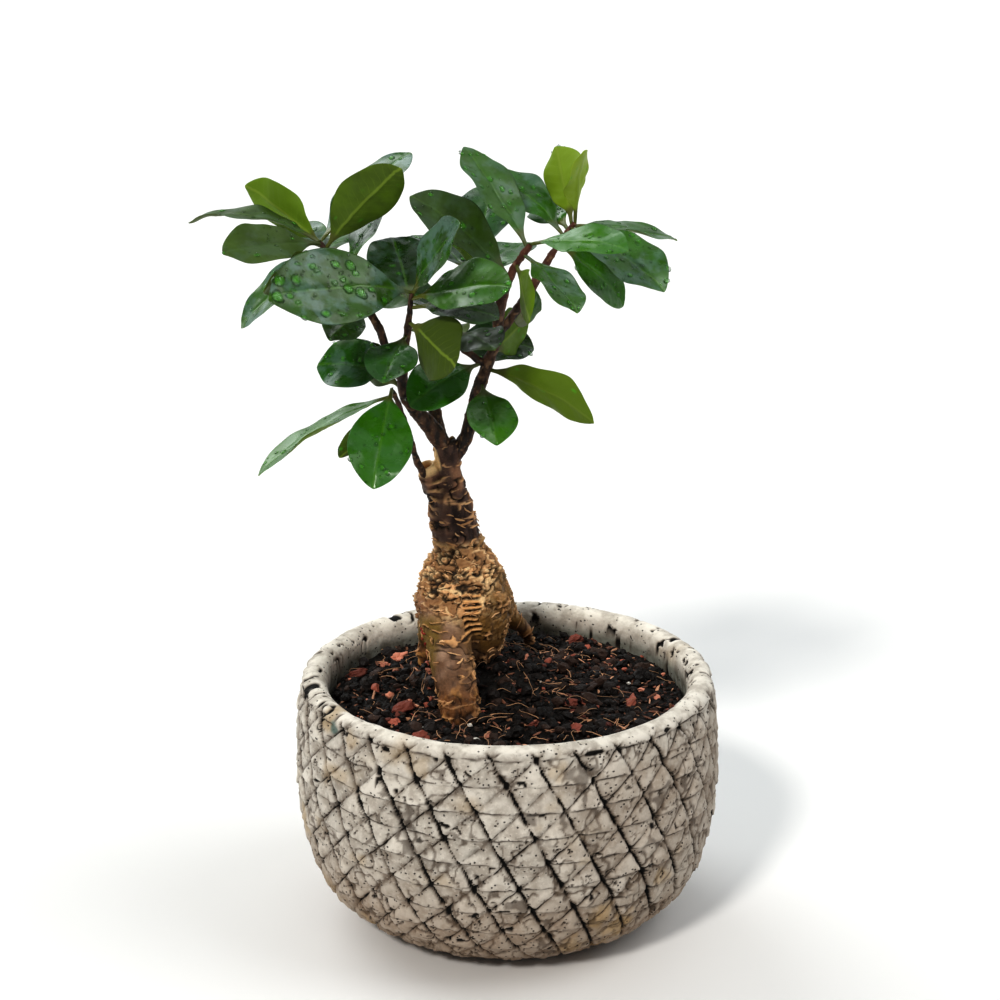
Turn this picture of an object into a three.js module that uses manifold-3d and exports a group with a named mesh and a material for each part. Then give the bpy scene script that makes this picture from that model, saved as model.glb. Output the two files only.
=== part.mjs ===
// Bonsai tree in a round cement pot. Millimetres, +Z up, the pot stands on z = 0 around the Z axis.
import * as THREE from "three";
import Module from "manifold-3d";

const wasm = await Module();
wasm.setup();

// Driving dimensions.
const GAP = 0.3; // clear space between two pieces that touch
const POT_HEIGHT = 96;
const POT_FOOT_RADIUS = 46;
const POT_WALL = 11;
const POT_FLOOR = 12;
const LIP_RADIUS = 72; // pot axis to the middle of the rounded lip
const LIP_ROUND = POT_WALL / 2;
const DRAIN_RADIUS = 4.5;
const DRAIN_CIRCLE = 24; // pot axis to a drain hole's axis
const SOIL_AT_WALL = 86;
const SOIL_AT_TRUNK = 90.5;
const SOIL_RADIUS = 66;
const INNER_WALL_TOP = 80; // the inner wall runs straight from here up to the lip
const FLOOR_BEVEL = 4; // how far the floor stops short of the inner wall's last ring
const LEAF_HALF_THICKNESS = 0.3;
const STALK_RADIUS = 0.75;
const STALK_LENGTH = 6;
const EDGE_LIFT = 0.16; // how far a leaf's edge stands above its midrib, as a share of the half width

// How finely each shape is cut into faces.
const POT_SEGMENTS = 44;
const SOIL_SEGMENTS = 30;
const DRAIN_SEGMENTS = 20;
const HEAP_SIDES = 16;
const TRUNK_SIDES = 12;
const STEM_SIDES = 8;
const LEAF_SIDES = 8;
const RINGS_PER_ROW = 2;
const BLADE_STATIONS = [0.05, 0.2, 0.4, 0.6, 0.8, 0.94, 1];
const SOIL_RINGS = [65.2, 50, 34, 16, 2];
const DRAIN_TURNS = [0, 120, 240]; // degrees around the pot's axis

// Outer radius of the pot at a share of its height, from the foot to the underside of the lip.
const POT_SIDE = [
  [0.02, 52],
  [0.08, 62],
  [0.2, 72.2],
  [0.35, 77.2],
  [0.5, 79.5],
  [0.65, 80],
  [0.8, 79.4],
  [0.9, 78.6],
];

// The limbs that the trunk is grown from. A row is a point on the middle line and the radius there.
const TRUNK_LIMBS = {
  stem: [
    [-16, 13, 112, 14],
    [-17, 12, 124, 15.5],
    [-17.5, 12, 133, 14],
    [-18.5, 12, 141, 9.3],
    [-20, 11.5, 149, 8.9],
    [-21.5, 11, 158, 8.1],
    [-22, 10, 167, 6],
    [-22, 9, 175, 4.8],
    [-23, 8, 182, 4.2],
  ],
  bulb: [
    [-17, 12, 139, 9],
    [-17, 12, 130, 15.8],
    [-16.5, 12, 120, 18.2],
    [-14.5, 12.5, 111, 17],
    [-14, 13, 102, 13],
    [-14, 14, 93, 10],
    [-14, 15, 82, 7],
  ],
  front_root: [
    [-24, 8, 126, 10],
    [-23.5, 0, 116, 9.5],
    [-21, -10, 106, 8.3],
    [-19, -18, 97, 8],
    [-17, -25, 88, 7.3],
    [-16, -30, 78, 4],
  ],
  rear_root: [
    [-13, 18, 112, 10],
    [-13, 29, 101, 6.5],
    [-15, 37, 91, 5],
    [-17, 43, 79, 3],
  ],
  right_root: [
    [-6, 19, 118, 8],
    [0, 27, 107, 4.2],
    [5.5, 35, 99, 2.8],
    [8.5, 41, 91, 2.2],
    [10, 45, 82, 1.6],
  ],
  left_root: [
    [-25, 16, 118, 10],
    [-26, 21, 105, 8],
    [-28, 26, 93, 6],
    [-30, 31, 79, 3.5],
  ],
  stub: [
    [-22, 10, 156, 6.5],
    [-26, 8.5, 163, 5],
    [-28.5, 7, 169, 4],
    [-30, 6, 173.5, 3.5],
  ],
};

// The soil heaped round the foot of the bulb, in the same way.
const SOIL_HEAP = [
  [-8, 13, 80, 31],
  [-8, 13, 88, 28.7],
  [-8, 13, 93, 21.8],
  [-8, 13, 97, 13.2],
  [-8, 13, 99, 5],
];

// The stems above the trunk, in the same way. Each starts inside the wood that it grows from.
const STEMS = {
  left_branch: {
    from: ["trunk"],
    rows: [
      [-23, 8, 179, 4],
      [-27.5, 4, 188, 3.3],
      [-32.5, 0, 195, 2.7],
      [-36, -3, 201, 2.5],
      [-37.5, -6, 207, 2.2],
      [-37, -9, 215, 1.7],
      [-36, -12, 223, 1.5],
      [-34.5, -16, 234, 1.3],
      [-33.5, -20, 244, 1],
    ],
  },
  middle_branch: {
    from: ["trunk", "left_branch"],
    rows: [
      [-24, 9, 178, 3.2],
      [-26.5, 12, 191, 2.6],
      [-27, 15, 200, 2.1],
      [-25, 20, 210, 1.8],
      [-22, 26, 221, 1.6],
      [-17, 31, 232, 1.3],
      [-11, 34, 243, 1],
    ],
  },
  right_branch: {
    from: ["trunk", "left_branch", "middle_branch"],
    rows: [
      [-21, 9, 172, 3],
      [-15.5, 9, 182, 2.7],
      [-13.5, 8, 190, 2.4],
      [-11, 6, 201, 2.3],
      [-7.5, 4, 211, 2.3],
      [-4, 2, 222, 2.2],
      [-3, 0, 232, 2],
      [-1, -2, 241, 1.8],
      [3, -4, 250, 1.5],
      [8, -6, 258, 1.1],
    ],
  },
  left_twig: {
    from: ["left_branch"],
    rows: [
      [-37.5, -6, 207, 1.7],
      [-42, -4, 215.5, 1.6],
      [-45.5, -2, 226, 1.5],
      [-50.5, 0, 234.5, 1.4],
      [-57, 2, 245, 1.3],
      [-63, 3, 253, 1.2],
      [-67, 3, 257, 1],
    ],
  },
  left_shoot: {
    from: ["trunk", "left_branch"],
    rows: [
      [-26, 8, 160, 1.6],
      [-31, 3, 171, 1.4],
      [-33.5, -1, 179, 1.2],
      [-35.5, -6, 189, 1.1],
      [-38, -10, 199, 1],
      [-41, -13, 207, 0.9],
    ],
  },
  right_twig: {
    from: ["right_branch"],
    rows: [
      [-4, 2, 222, 1.9],
      [2.5, 6, 230.5, 1.8],
      [8, 10, 237.5, 1.7],
      [13.5, 12, 246.5, 1.5],
      [19, 12, 255.5, 1.3],
      [24, 12, 262, 1],
    ],
  },
  inner_twig: {
    from: ["right_branch"],
    rows: [
      [-7.5, 4, 210, 1.4],
      [-13, 2, 216, 1.2],
      [-17, -1, 220, 1],
      [-17.5, -4, 226, 0.8],
    ],
  },
};

// The leaves of each stem. A row holds, in this order: where the leaf grows, as a share of the stem's
// length; the compass turn of the leaf (0 is +X, 90 is +Y), its rise above level and its roll about its
// own length, in degrees; its length with the stalk and its width, in millimetres; and its arch, the
// angle in degrees between the start and the end of its midrib.
const LEAVES = {
  left_twig: [
    [0.96, 141, 24, -85, 42, 18, 15],
    [0.94, -32, 44, 50, 46, 21, 20],
    [0.99, 40, 33, 0, 50, 24, 20],
    [1.0, 162, 5, 0, 52, 18, 50],
    [0.92, 122, 2, 10, 36, 20, 20],
    [0.98, -140, 3, 35, 42, 20, 20],
    [0.89, -132, -14, -55, 34, 18, 20],
    [0.91, 165, -41, 35, 46, 20, 25],
    [0.88, 97, 0, 0, 36, 20, 25],
    [0.75, 55, 40, 25, 40, 22, 20],
    [0.49, -120, -12, 20, 26, 16, 25],
  ],
  left_branch: [
    [1.0, -148, 4, 50, 56, 31, 25],
    [0.94, 104, 28, 5, 36, 24, 20],
    [0.965, -42, 52, -60, 38, 23, 15],
    [0.96, -26, 12, -35, 40, 25, 20],
    [0.91, -22, -2, -15, 34, 22, 35],
    [0.83, -58, -17, 112, 33, 25, 15],
    [0.76, -108, -25, 5, 27, 20, 25],
    [0.43, 138, 20, -90, 27, 17, 15],
    [0.54, 158, -3, 45, 34, 23, 25],
  ],
  right_branch: [
    [0.84, 165, 37, 25, 46, 25, 25],
    [0.8, 138, 22, -65, 34, 16, 50],
    [0.74, 150, 2, 30, 30, 18, 20],
    [0.98, 133, 43, 0, 46, 20, 20],
    [1.0, -38, 5, -20, 42, 20, 25],
    [0.95, -52, -28, 10, 34, 20, 25],
    [0.9, -80, -28, 95, 30, 20, 15],
    [0.71, 46, -13, 85, 22, 16, 15],
    [0.49, 56, 20, 95, 26, 19, 15],
    [0.44, -26, -19, 65, 46, 20, 30],
    [0.38, -76, -33, 5, 30, 20, 20],
  ],
  right_twig: [
    [0.88, 140, 30, 5, 40, 22, 20],
    [0.93, 112, 12, 35, 28, 18, 20],
    [0.97, 106, 52, -125, 32, 20, 15],
    [1.0, -80, 62, -50, 32, 16, 25],
    [0.97, 22, -12, -5, 43, 18, 20],
    [0.95, -35, -24, -15, 44, 26, 25],
    [0.81, 19, -44, -45, 36, 22, 20],
  ],
  inner_twig: [
    [0.15, -140, -18, 35, 34, 21, 25],
    [0.95, -62, 2, -20, 27, 19, 20],
  ],
  left_shoot: [
    [1.0, -100, -41, 10, 42, 24, 25],
    [0.95, -166, -28, -5, 57, 20, 35],
    [0.73, 163, -31, -40, 30, 14, 20],
  ],
  middle_branch: [
    [0.55, 2, -6, -30, 34, 23, 25],
    [0.66, -112, 24, 10, 34, 23, 30],
    [0.75, 172, 8, 30, 38, 22, 25],
    [0.85, 55, 12, 0, 44, 25, 30],
    [0.93, 120, 8, 0, 46, 25, 30],
    [1.0, 80, 32, 0, 42, 24, 35],
    [0.6, 95, -18, 0, 40, 23, 30],
  ],
};

// Colours as 8-bit red, green and blue.
const LOOKS = {
  cement: { color: "rgb(178,172,160)", roughness: 0.9 },
  soil: { color: "rgb(38,32,31)", roughness: 1 },
  bark: { color: "rgb(132,98,68)", roughness: 0.85 },
  twig_bark: { color: "rgb(92,66,50)", roughness: 0.85 },
  leaf: { color: "rgb(30,72,30)", roughness: 0.3 },
};

const group = new THREE.Group();
group.name = "bonsai_tree_in_a_pot";

// Adds a manifold-3d solid to the group as a named mesh.
function addNode(name, solid, look) {
  const made = solid.getMesh();
  const geometry = new THREE.BufferGeometry();
  geometry.setAttribute("position", new THREE.BufferAttribute(made.vertProperties, made.numProp));
  geometry.setIndex(new THREE.BufferAttribute(made.triVerts, 1));
  geometry.computeVertexNormals();
  const material = new THREE.MeshStandardMaterial({ ...LOOKS[look], metalness: 0 });
  const mesh = new THREE.Mesh(geometry, material);
  mesh.name = name;
  group.add(mesh);
}

function radians(degrees) {
  return (degrees * Math.PI) / 180;
}

// A closed ring of points: `place` gives the point at each angle of a full turn.
function ring(sides, place) {
  return Array.from({ length: sides }, (_, i) => place((i / sides) * 2 * Math.PI));
}

// A closed solid skinned over rings of points. Every ring has the same number of points.
function skin(rings) {
  const sides = rings[0].length;
  const points = rings.flat();
  const faces = [];
  for (let r = 0; r + 1 < rings.length; r++) {
    for (let i = 0; i < sides; i++) {
      const here = r * sides + i;
      const next = r * sides + ((i + 1) % sides);
      faces.push(here, next, next + sides, here, next + sides, here + sides);
    }
  }
  const last = (rings.length - 1) * sides;
  for (let i = 1; i + 1 < sides; i++) {
    faces.push(0, i + 1, i, last, last + i, last + i + 1);
  }
  const mesh = new wasm.Mesh({
    numProp: 3,
    vertProperties: new Float32Array(points.flatMap((p) => p.toArray())),
    triVerts: new Uint32Array(faces),
  });
  return new wasm.Manifold(mesh);
}

// A solid of revolution about the Z axis. The profile is [radius, height] pairs, bottom to top
// on the outside and then down the inside where there is one.
function turned(profile, segments) {
  const rings = profile.map(([radius, z]) =>
    ring(segments, (angle) => new THREE.Vector3(radius * Math.cos(angle), radius * Math.sin(angle), z)),
  );
  return skin(rings);
}

// A value from a list, at a share of the way along it.
function blend(values, share) {
  const place = share * (values.length - 1);
  const low = Math.min(Math.floor(place), values.length - 2);
  return values[low] + (values[low + 1] - values[low]) * (place - low);
}

function curveOf(rows) {
  return new THREE.CatmullRomCurve3(rows.map(([x, y, z]) => new THREE.Vector3(x, y, z)));
}

// A round limb along its curve, made thicker by `grow` all round.
function limbSolid(rows, sides, grow = 0) {
  const curve = curveOf(rows);
  const radii = rows.map((row) => row[3]);
  const steps = (rows.length - 1) * RINGS_PER_ROW;
  const rings = [];
  let across = new THREE.Vector3(1, 0, 0);
  for (let s = 0; s <= steps; s++) {
    const share = s / steps;
    const centre = curve.getPoint(share);
    const along = curve.getTangent(share);
    if (s === 0) centre.addScaledVector(along, -grow);
    if (s === steps) centre.addScaledVector(along, grow);
    across = across.clone().addScaledVector(along, -across.dot(along)).normalize();
    const other = along.clone().cross(across);
    const radius = blend(radii, share) + grow;
    rings.push(
      ring(sides, (angle) =>
        centre
          .clone()
          .addScaledVector(across, radius * Math.cos(angle))
          .addScaledVector(other, radius * Math.sin(angle)),
      ),
    );
  }
  return skin(rings);
}

function joined(solids) {
  return solids.reduce((all, solid) => all.add(solid));
}

// The biggest of the bodies that a cut leaves.
function largest(solid) {
  return solid.decompose().sort((a, b) => b.volume() - a.volume())[0];
}

// The pot's side, moved inwards, between two heights.
function sideInset(inset, above, below) {
  const rows = POT_SIDE.map(([share, radius]) => [radius - inset, share * POT_HEIGHT]);
  return rows.filter(([, z]) => z > above && z < below);
}

function potSolid() {
  const outside = sideInset(0, 0, POT_HEIGHT);
  const lip = [0, 45, 90, 135, 180].map((degrees) => [
    LIP_RADIUS + LIP_ROUND * Math.cos(radians(degrees)),
    POT_HEIGHT - LIP_ROUND + LIP_ROUND * Math.sin(radians(degrees)),
  ]);
  const inside = sideInset(POT_WALL, POT_FLOOR, INNER_WALL_TOP).reverse();
  const floor = [inside.at(-1)[0] - FLOOR_BEVEL, POT_FLOOR];
  const profile = [[POT_FOOT_RADIUS, 0], ...outside, ...lip, ...inside, floor];
  const shell = turned(profile, POT_SEGMENTS);
  return shell.subtract(joined(DRAIN_TURNS.map(drainHole)));
}

function drainHole(degrees) {
  const hole = wasm.Manifold.cylinder(POT_FLOOR * 3, DRAIN_RADIUS, DRAIN_RADIUS, DRAIN_SEGMENTS, true);
  return hole.translate([
    DRAIN_CIRCLE * Math.cos(radians(degrees)),
    DRAIN_CIRCLE * Math.sin(radians(degrees)),
    POT_FLOOR / 2,
  ]);
}

// The potting mix: it fills the pot to just below the lip, rises a little towards the middle and is
// heaped behind the front root.
function soilSolid() {
  const side = sideInset(POT_WALL + 2 * GAP, POT_FLOOR, SOIL_AT_WALL - 4);
  const bottom = [side[0][0] - FLOOR_BEVEL, POT_FLOOR + GAP];
  const rise = SOIL_AT_TRUNK - SOIL_AT_WALL;
  const top = SOIL_RINGS.map((radius) => [radius, SOIL_AT_WALL + rise * (1 - radius / SOIL_RADIUS)]);
  return turned([bottom, ...side, ...top], SOIL_SEGMENTS).add(limbSolid(SOIL_HEAP, HEAP_SIDES));
}

function trunkSolid(grow = 0) {
  return joined(Object.values(TRUNK_LIMBS).map((rows) => limbSolid(rows, TRUNK_SIDES, grow)));
}

// Half the width of a leaf's blade at a share of its length, widest a little past the middle.
function bladeWidth(share) {
  return Math.sin(Math.PI * share ** 1.12) ** 0.62;
}

// The direction a leaf points in, at this many degrees above level.
function leafDirection(turn, slope) {
  const level = Math.cos(radians(slope));
  return new THREE.Vector3(
    level * Math.cos(radians(turn)),
    level * Math.sin(radians(turn)),
    Math.sin(radians(slope)),
  );
}

// A leaf's upper side faces this way where it points along `along`, rolled about that direction.
function leafTop(along, roll) {
  const level = new THREE.Vector3(0, 0, 1).cross(along).normalize();
  const up = along.clone().cross(level);
  const side = up.clone().cross(along);
  return up.multiplyScalar(Math.cos(radians(roll))).addScaledVector(side, Math.sin(radians(roll)));
}

// One leaf with its stalk, as a thin lens with raised edges that follows an arched midrib.
function leafSolid(start, [, turn, rise, roll, length, width, arch]) {
  const stalkShare = STALK_LENGTH / length;
  const bladeStations = BLADE_STATIONS.map((share) => stalkShare + (1 - stalkShare) * share);
  const stations = [0, 0.7 * stalkShare, ...bladeStations];
  const slopeAt = (share) => rise + arch * (0.5 - share);
  const rings = [];
  const centre = start.clone();
  let before = 0;
  stations.forEach((share, s) => {
    const step = leafDirection(turn, slopeAt((share + before) / 2));
    centre.addScaledVector(step, (share - before) * length);
    before = share;
    const normal = leafTop(leafDirection(turn, slopeAt(share)), roll);
    const across = normal.clone().cross(leafDirection(turn, slopeAt(share)));
    const blade = BLADE_STATIONS[s - 2];
    const half = blade ? Math.max((width / 2) * bladeWidth(blade), STALK_RADIUS / 2) : STALK_RADIUS;
    const thick = blade ? LEAF_HALF_THICKNESS : STALK_RADIUS;
    const lift = blade ? half * EDGE_LIFT : 0;
    rings.push(
      ring(LEAF_SIDES, (angle) =>
        centre
          .clone()
          .addScaledVector(across, half * Math.cos(angle))
          .addScaledVector(normal, thick * Math.sin(angle) + lift * Math.cos(angle) ** 2),
      ),
    );
  });
  return skin(rings);
}

function buildTree() {
  addNode("pot", potSolid(), "cement");
  addNode("trunk", trunkSolid(), "bark");
  addNode("soil", soilSolid().subtract(trunkSolid(GAP)), "soil");

  const swollen = { trunk: trunkSolid(GAP) };
  for (const [name, stem] of Object.entries(STEMS)) {
    swollen[name] = limbSolid(stem.rows, STEM_SIDES, GAP);
    const parents = joined(stem.from.map((parent) => swollen[parent]));
    addNode(name, largest(limbSolid(stem.rows, STEM_SIDES).subtract(parents)), "twig_bark");
  }

  const wood = joined(Object.values(swollen));
  for (const [stem, rows] of Object.entries(LEAVES)) {
    const curve = curveOf(STEMS[stem].rows);
    rows.forEach((row, i) => {
      const leaf = leafSolid(curve.getPointAt(row[0]), row);
      addNode(`leaf_${stem}_${i + 1}`, largest(leaf.subtract(wood)), "leaf");
    });
  }
}

buildTree();

export default group;
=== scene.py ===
"""Looks of a bonsai tree in a round cement pot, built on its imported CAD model.

Lengths named here are in millimetres and turn into metres where a mesh is made. +Z is up.
"""

import math
import random

import bmesh
import bpy
import numpy as np
from mathutils import Matrix, Vector
from mathutils.bvhtree import BVHTree


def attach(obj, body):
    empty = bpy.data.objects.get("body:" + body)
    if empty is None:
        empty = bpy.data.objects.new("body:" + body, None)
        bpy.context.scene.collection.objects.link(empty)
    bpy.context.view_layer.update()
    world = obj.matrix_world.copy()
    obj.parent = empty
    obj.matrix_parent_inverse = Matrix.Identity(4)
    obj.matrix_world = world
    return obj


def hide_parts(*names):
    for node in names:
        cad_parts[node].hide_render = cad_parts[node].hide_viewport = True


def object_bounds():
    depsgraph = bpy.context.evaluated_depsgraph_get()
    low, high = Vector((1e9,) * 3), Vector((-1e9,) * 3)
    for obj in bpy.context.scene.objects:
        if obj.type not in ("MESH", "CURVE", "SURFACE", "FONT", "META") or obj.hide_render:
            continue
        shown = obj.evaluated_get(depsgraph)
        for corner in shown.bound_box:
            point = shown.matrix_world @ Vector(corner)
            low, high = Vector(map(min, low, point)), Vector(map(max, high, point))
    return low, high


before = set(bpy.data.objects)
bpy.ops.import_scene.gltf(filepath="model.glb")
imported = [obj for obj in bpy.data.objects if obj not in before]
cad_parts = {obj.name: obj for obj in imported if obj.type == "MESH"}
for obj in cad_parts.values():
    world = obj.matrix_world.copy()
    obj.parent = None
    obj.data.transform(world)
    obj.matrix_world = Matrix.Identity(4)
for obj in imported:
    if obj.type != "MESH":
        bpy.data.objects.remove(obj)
cad_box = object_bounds()

MM = 0.001

# The pot, as in the CAD model: its outer radius at a share of its height, and its rounded lip.
POT_HEIGHT = 96
POT_FOOT_RADIUS = 46
POT_WALL = 11
POT_FLOOR = 12
LIP_RADIUS = 72
LIP_ROUND = POT_WALL / 2
LIP_GIRTH = 78  # the radius at which the chips' widths are measured
BELLY_RADIUS = 80
DRAIN_RADIUS = 4.5
DRAIN_CIRCLE = 24
POT_SIDE = [
    (0.02, 52),
    (0.08, 62),
    (0.2, 72.2),
    (0.35, 77.2),
    (0.5, 79.5),
    (0.65, BELLY_RADIUS),
    (0.8, 79.4),
    (0.9, 78.6),
]
POT_COLUMNS = 860
POT_ROWS = 176
LIP_ROWS = 26

# The carved lozenges: how many go round the belly, the gap between level lines, how far the steep lines
# drift over that gap, and the straight distance between neighbours of each slanted set.
LOZENGES_ROUND = 31
LOZENGE_WIDTH = 2 * math.pi * BELLY_RADIUS / LOZENGES_ROUND
LOZENGE_DROP = 9.9
LOZENGE_LEAN = 5.3
STEEP_GAP = 14.4
CROSS_GAP = 11.05
LOZENGE_START = -2.2
FIRST_ROW = -1.0  # below the outer end of the lip's rounding; negative is up on the lip

# Rust, ochre and green marks on the cement: degrees round the pot from +X, height, radius, strength of
# the ochre, and strength of the green.
STAINS = [
    (212, 92, 5.0, 0.8, 0.0),
    (216, 91, 2.6, 0.0, 1.0),
    (224, 90, 4.0, 0.6, 0.0),
    (246, 87, 4.5, 0.5, 0.0),
    (283, 88, 4.0, 0.5, 0.0),
    (296, 28, 6.0, 0.8, 0.0),
    (304, 20, 8.0, 0.9, 0.0),
    (290, 14, 6.0, 0.7, 0.0),
    (316, 36, 5.0, 0.6, 0.0),
    (196, 44, 6.0, 0.7, 0.0),
    (206, 20, 8.0, 0.5, 0.0),
    (60, 30, 9.0, 0.6, 0.0),
    (120, 82, 6.0, 0.5, 0.0),
    (20, 60, 6.0, 0.5, 0.0),
]

# Deep chips in the lip: degrees round the pot from +X, height, half width and half height.
LIP_CHIPS = [
    (293, 92.4, 3.6, 1.1),
    (236, 91, 1.6, 0.9),
    (231, 92.5, 1.2, 0.8),
    (318, 93, 2.2, 0.9),
    (15, 92, 3.2, 1.1),
    (75, 93, 2.6, 1.0),
    (150, 92, 3.0, 1.1),
    (192, 91, 2.0, 0.9),
]

# The soil's surface, as in the CAD model.
SOIL_RADIUS = 66
SOIL_AT_WALL = 86
SOIL_AT_TRUNK = 90.5
HEAP_CENTRE = (-8, 13)
HEAP_TOP = 99
HEAP_RADIUS = 31

# The trunk: the middle of its bulb, where the graft's scar runs round it, and its sawn stub.
BULB_CENTRE = (-17, 8)
GRAFT_HEIGHT = 142.5
STUB_TOP = np.array([-30, 6, 173.5])
STUB_AXIS = np.array([-0.3, -0.2, 0.93])

# The limbs and twigs, and the wood that each one grows from.
STEM_PARENTS = {
    "left_branch": ["trunk"],
    "middle_branch": ["trunk", "left_branch"],
    "right_branch": ["trunk", "left_branch", "middle_branch"],
    "left_twig": ["left_branch"],
    "left_shoot": ["trunk", "left_branch"],
    "right_twig": ["right_branch"],
    "inner_twig": ["right_branch"],
}

# How far each of these leaves is from full grown, from 0 to 1.
YOUNG_LEAVES = {
    "leaf_right_twig_4": 0.75,
    "leaf_right_twig_3": 0.4,
    "leaf_left_twig_7": 0.2,
    "leaf_left_twig_6": 0.25,
    "leaf_right_branch_10": 0.2,
}

# How light these leaves are; the others lie between 0.1 and 0.7.
LEAF_TONES = {
    "leaf_left_twig_1": 0.8,
    "leaf_left_twig_2": 0.3,
    "leaf_left_twig_7": 0.0,
    "leaf_left_branch_1": 0.2,
    "leaf_left_branch_2": 0.0,
    "leaf_left_branch_5": 0.0,
    "leaf_left_branch_6": -0.3,
    "leaf_left_branch_8": 0.1,
    "leaf_left_branch_9": 0.4,
    "leaf_left_shoot_1": 0.75,
    "leaf_right_branch_2": 0.7,
    "leaf_right_branch_5": 1.1,
    "leaf_right_branch_9": 0.7,
    "leaf_right_branch_10": 1.0,
    "leaf_right_branch_11": 0.9,
    "leaf_right_twig_2": 0.9,
    "leaf_right_twig_3": 0.8,
    "leaf_right_twig_7": 0.6,
    "leaf_inner_twig_1": 1.0,
    "leaf_inner_twig_2": 0.0,
}

# How far these leaves have lost their wax, from 0 to 1.
DULL_LEAVES = {
    "leaf_left_twig_4": 0.7,
    "leaf_left_twig_6": 1.0,
    "leaf_left_twig_7": 0.9,
    "leaf_right_branch_1": 0.8,
    "leaf_right_branch_4": 0.4,
    "leaf_right_branch_10": 0.5,
    "leaf_inner_twig_2": 0.4,
}

# How strongly these leaves show a painted sheen, pale blue-grey patches standing in for reflected light,
# from 0 to 1.
PAINTED_SHEEN_LEAVES = {
    "leaf_left_branch_1": 0.5,
    "leaf_left_branch_2": 0.25,
    "leaf_left_branch_3": 0.6,
    "leaf_left_branch_9": 0.35,
    "leaf_left_twig_3": 0.55,
    "leaf_left_twig_5": 0.5,
    "leaf_left_twig_8": 0.55,
    "leaf_right_branch_4": 0.3,
    "leaf_right_branch_6": 0.4,
    "leaf_right_twig_1": 0.4,
    "leaf_right_twig_6": 0.4,
}
USUAL_PAINTED_SHEEN = 0.12

# How many drops of water are laid on these leaves, and the radius of the largest. The rest have the
# usual ones.
WET_LEAVES = {
    "leaf_left_branch_1": (110, 2.5),
    "leaf_left_shoot_1": (40, 1.6),
    "leaf_right_twig_6": (50, 1.3),
    "leaf_right_branch_4": (40, 1.2),
    "leaf_left_branch_4": (30, 1.4),
    "leaf_left_branch_3": (26, 1.2),
    "leaf_left_branch_2": (22, 1.2),
    "leaf_right_branch_1": (26, 1.3),
    "leaf_right_branch_5": (22, 1.2),
    "leaf_left_branch_9": (22, 1.3),
}
USUAL_DROPS = (26, 1.2)

# The camera of the reference view.
CAMERA_TARGET = Vector((-0.0027, 0, 0.1617))
CAMERA_DISTANCE = 0.9
CAMERA_ELEVATION = math.radians(18)
CAMERA_LENS = 88.7


# ---------------------------------------------------------------- numbers and noise


def srgb(red, green, blue):
    """An 8-bit sRGB colour as linear red, green, blue and alpha."""
    linear = [
        c / 255 / 12.92 if c <= 10 else ((c / 255 + 0.055) / 1.055) ** 2.4
        for c in (red, green, blue)
    ]
    return (*linear, 1.0)


def ease(low, high, value):
    """0 below low, 1 above high and smooth between them; high may be below low."""
    t = np.clip((value - low) / (high - low), 0, 1)
    return t * t * (3 - 2 * t)


def lattice_random(cells, seed):
    """A random number from 0 to 1 for each whole-numbered cell."""
    mask = np.uint64(0xFFFFFFFF)
    c = cells.astype(np.int64).astype(np.uint64)
    n = c[:, 0] * np.uint64(374761393) + c[:, 1] * np.uint64(668265263)
    n += c[:, 2] * np.uint64(2246822519) + np.uint64(seed) * np.uint64(3266489917)
    n &= mask
    n = ((n ^ (n >> np.uint64(13))) * np.uint64(1274126177)) & mask
    n = ((n ^ (n >> np.uint64(16))) * np.uint64(2654435761)) & mask
    n ^= n >> np.uint64(15)
    return (n & np.uint64(0xFFFFFF)).astype(float) / 0xFFFFFF


def noise(points, size, seed=0):
    """Smooth noise from -1 to 1 with lumps of about this size."""
    p = points / size
    cell = np.floor(p)
    f = p - cell
    f = f * f * (3 - 2 * f)
    total = np.zeros(len(p))
    for corner in np.ndindex(2, 2, 2):
        step = np.array(corner)
        weight = np.prod(np.where(step, f, 1 - f), axis=1)
        total += weight * lattice_random(cell + step, seed)
    return total * 2 - 1


def rough_noise(points, size, seed=0, octaves=3):
    """Noise with finer noise on top of it."""
    layers = [noise(points, size / 2**k, seed + k) / 2**k for k in range(octaves)]
    return sum(layers) / 1.6


def smooth_path(points, count):
    """Evenly spaced points on a smooth curve through the given ones."""
    p = np.array(points, float)
    p = np.vstack([2 * p[0] - p[1], p, 2 * p[-1] - p[-2]])
    dense = []
    for a, b, c, d in zip(p, p[1:], p[2:], p[3:]):
        slope = c - a
        bend = 2 * a - 5 * b + 4 * c - d
        twist = 3 * b - a - 3 * c + d
        for t in np.linspace(0, 1, 16, endpoint=False):
            dense.append(0.5 * (2 * b + slope * t + bend * t**2 + twist * t**3))
    dense = np.array(dense + [p[-2]])
    length = np.r_[0, np.cumsum(np.linalg.norm(np.diff(dense, axis=0), axis=1))]
    places = np.linspace(0, length[-1], count)
    return np.stack([np.interp(places, length, dense[:, k]) for k in range(p.shape[1])], 1)


# ---------------------------------------------------------------- meshes


def mesh_of(name, points, faces):
    """A smooth mesh from points in millimetres."""
    mesh = bpy.data.meshes.new(name)
    mesh.from_pydata((np.asarray(points) * MM).tolist(), [], faces)
    mesh.polygons.foreach_set("use_smooth", np.ones(len(mesh.polygons), bool))
    mesh.validate()
    mesh.update()
    return mesh


def coordinates(mesh):
    """A mesh's points in millimetres."""
    co = np.zeros(len(mesh.vertices) * 3)
    mesh.vertices.foreach_get("co", co)
    return co.reshape(-1, 3) / MM


def move_to(mesh, points):
    """Puts a mesh's points at these places, kept inside the CAD model's box."""
    low, high = (np.array(corner) / MM for corner in cad_box)
    mesh.vertices.foreach_set("co", (np.clip(points, low, high) * MM).ravel())
    mesh.update()


def point_normals(mesh):
    """The way a mesh's surface faces at each of its points."""
    normals = np.zeros(len(mesh.vertices) * 3)
    mesh.vertex_normals.foreach_get("vector", normals)
    return normals.reshape(-1, 3)


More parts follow.
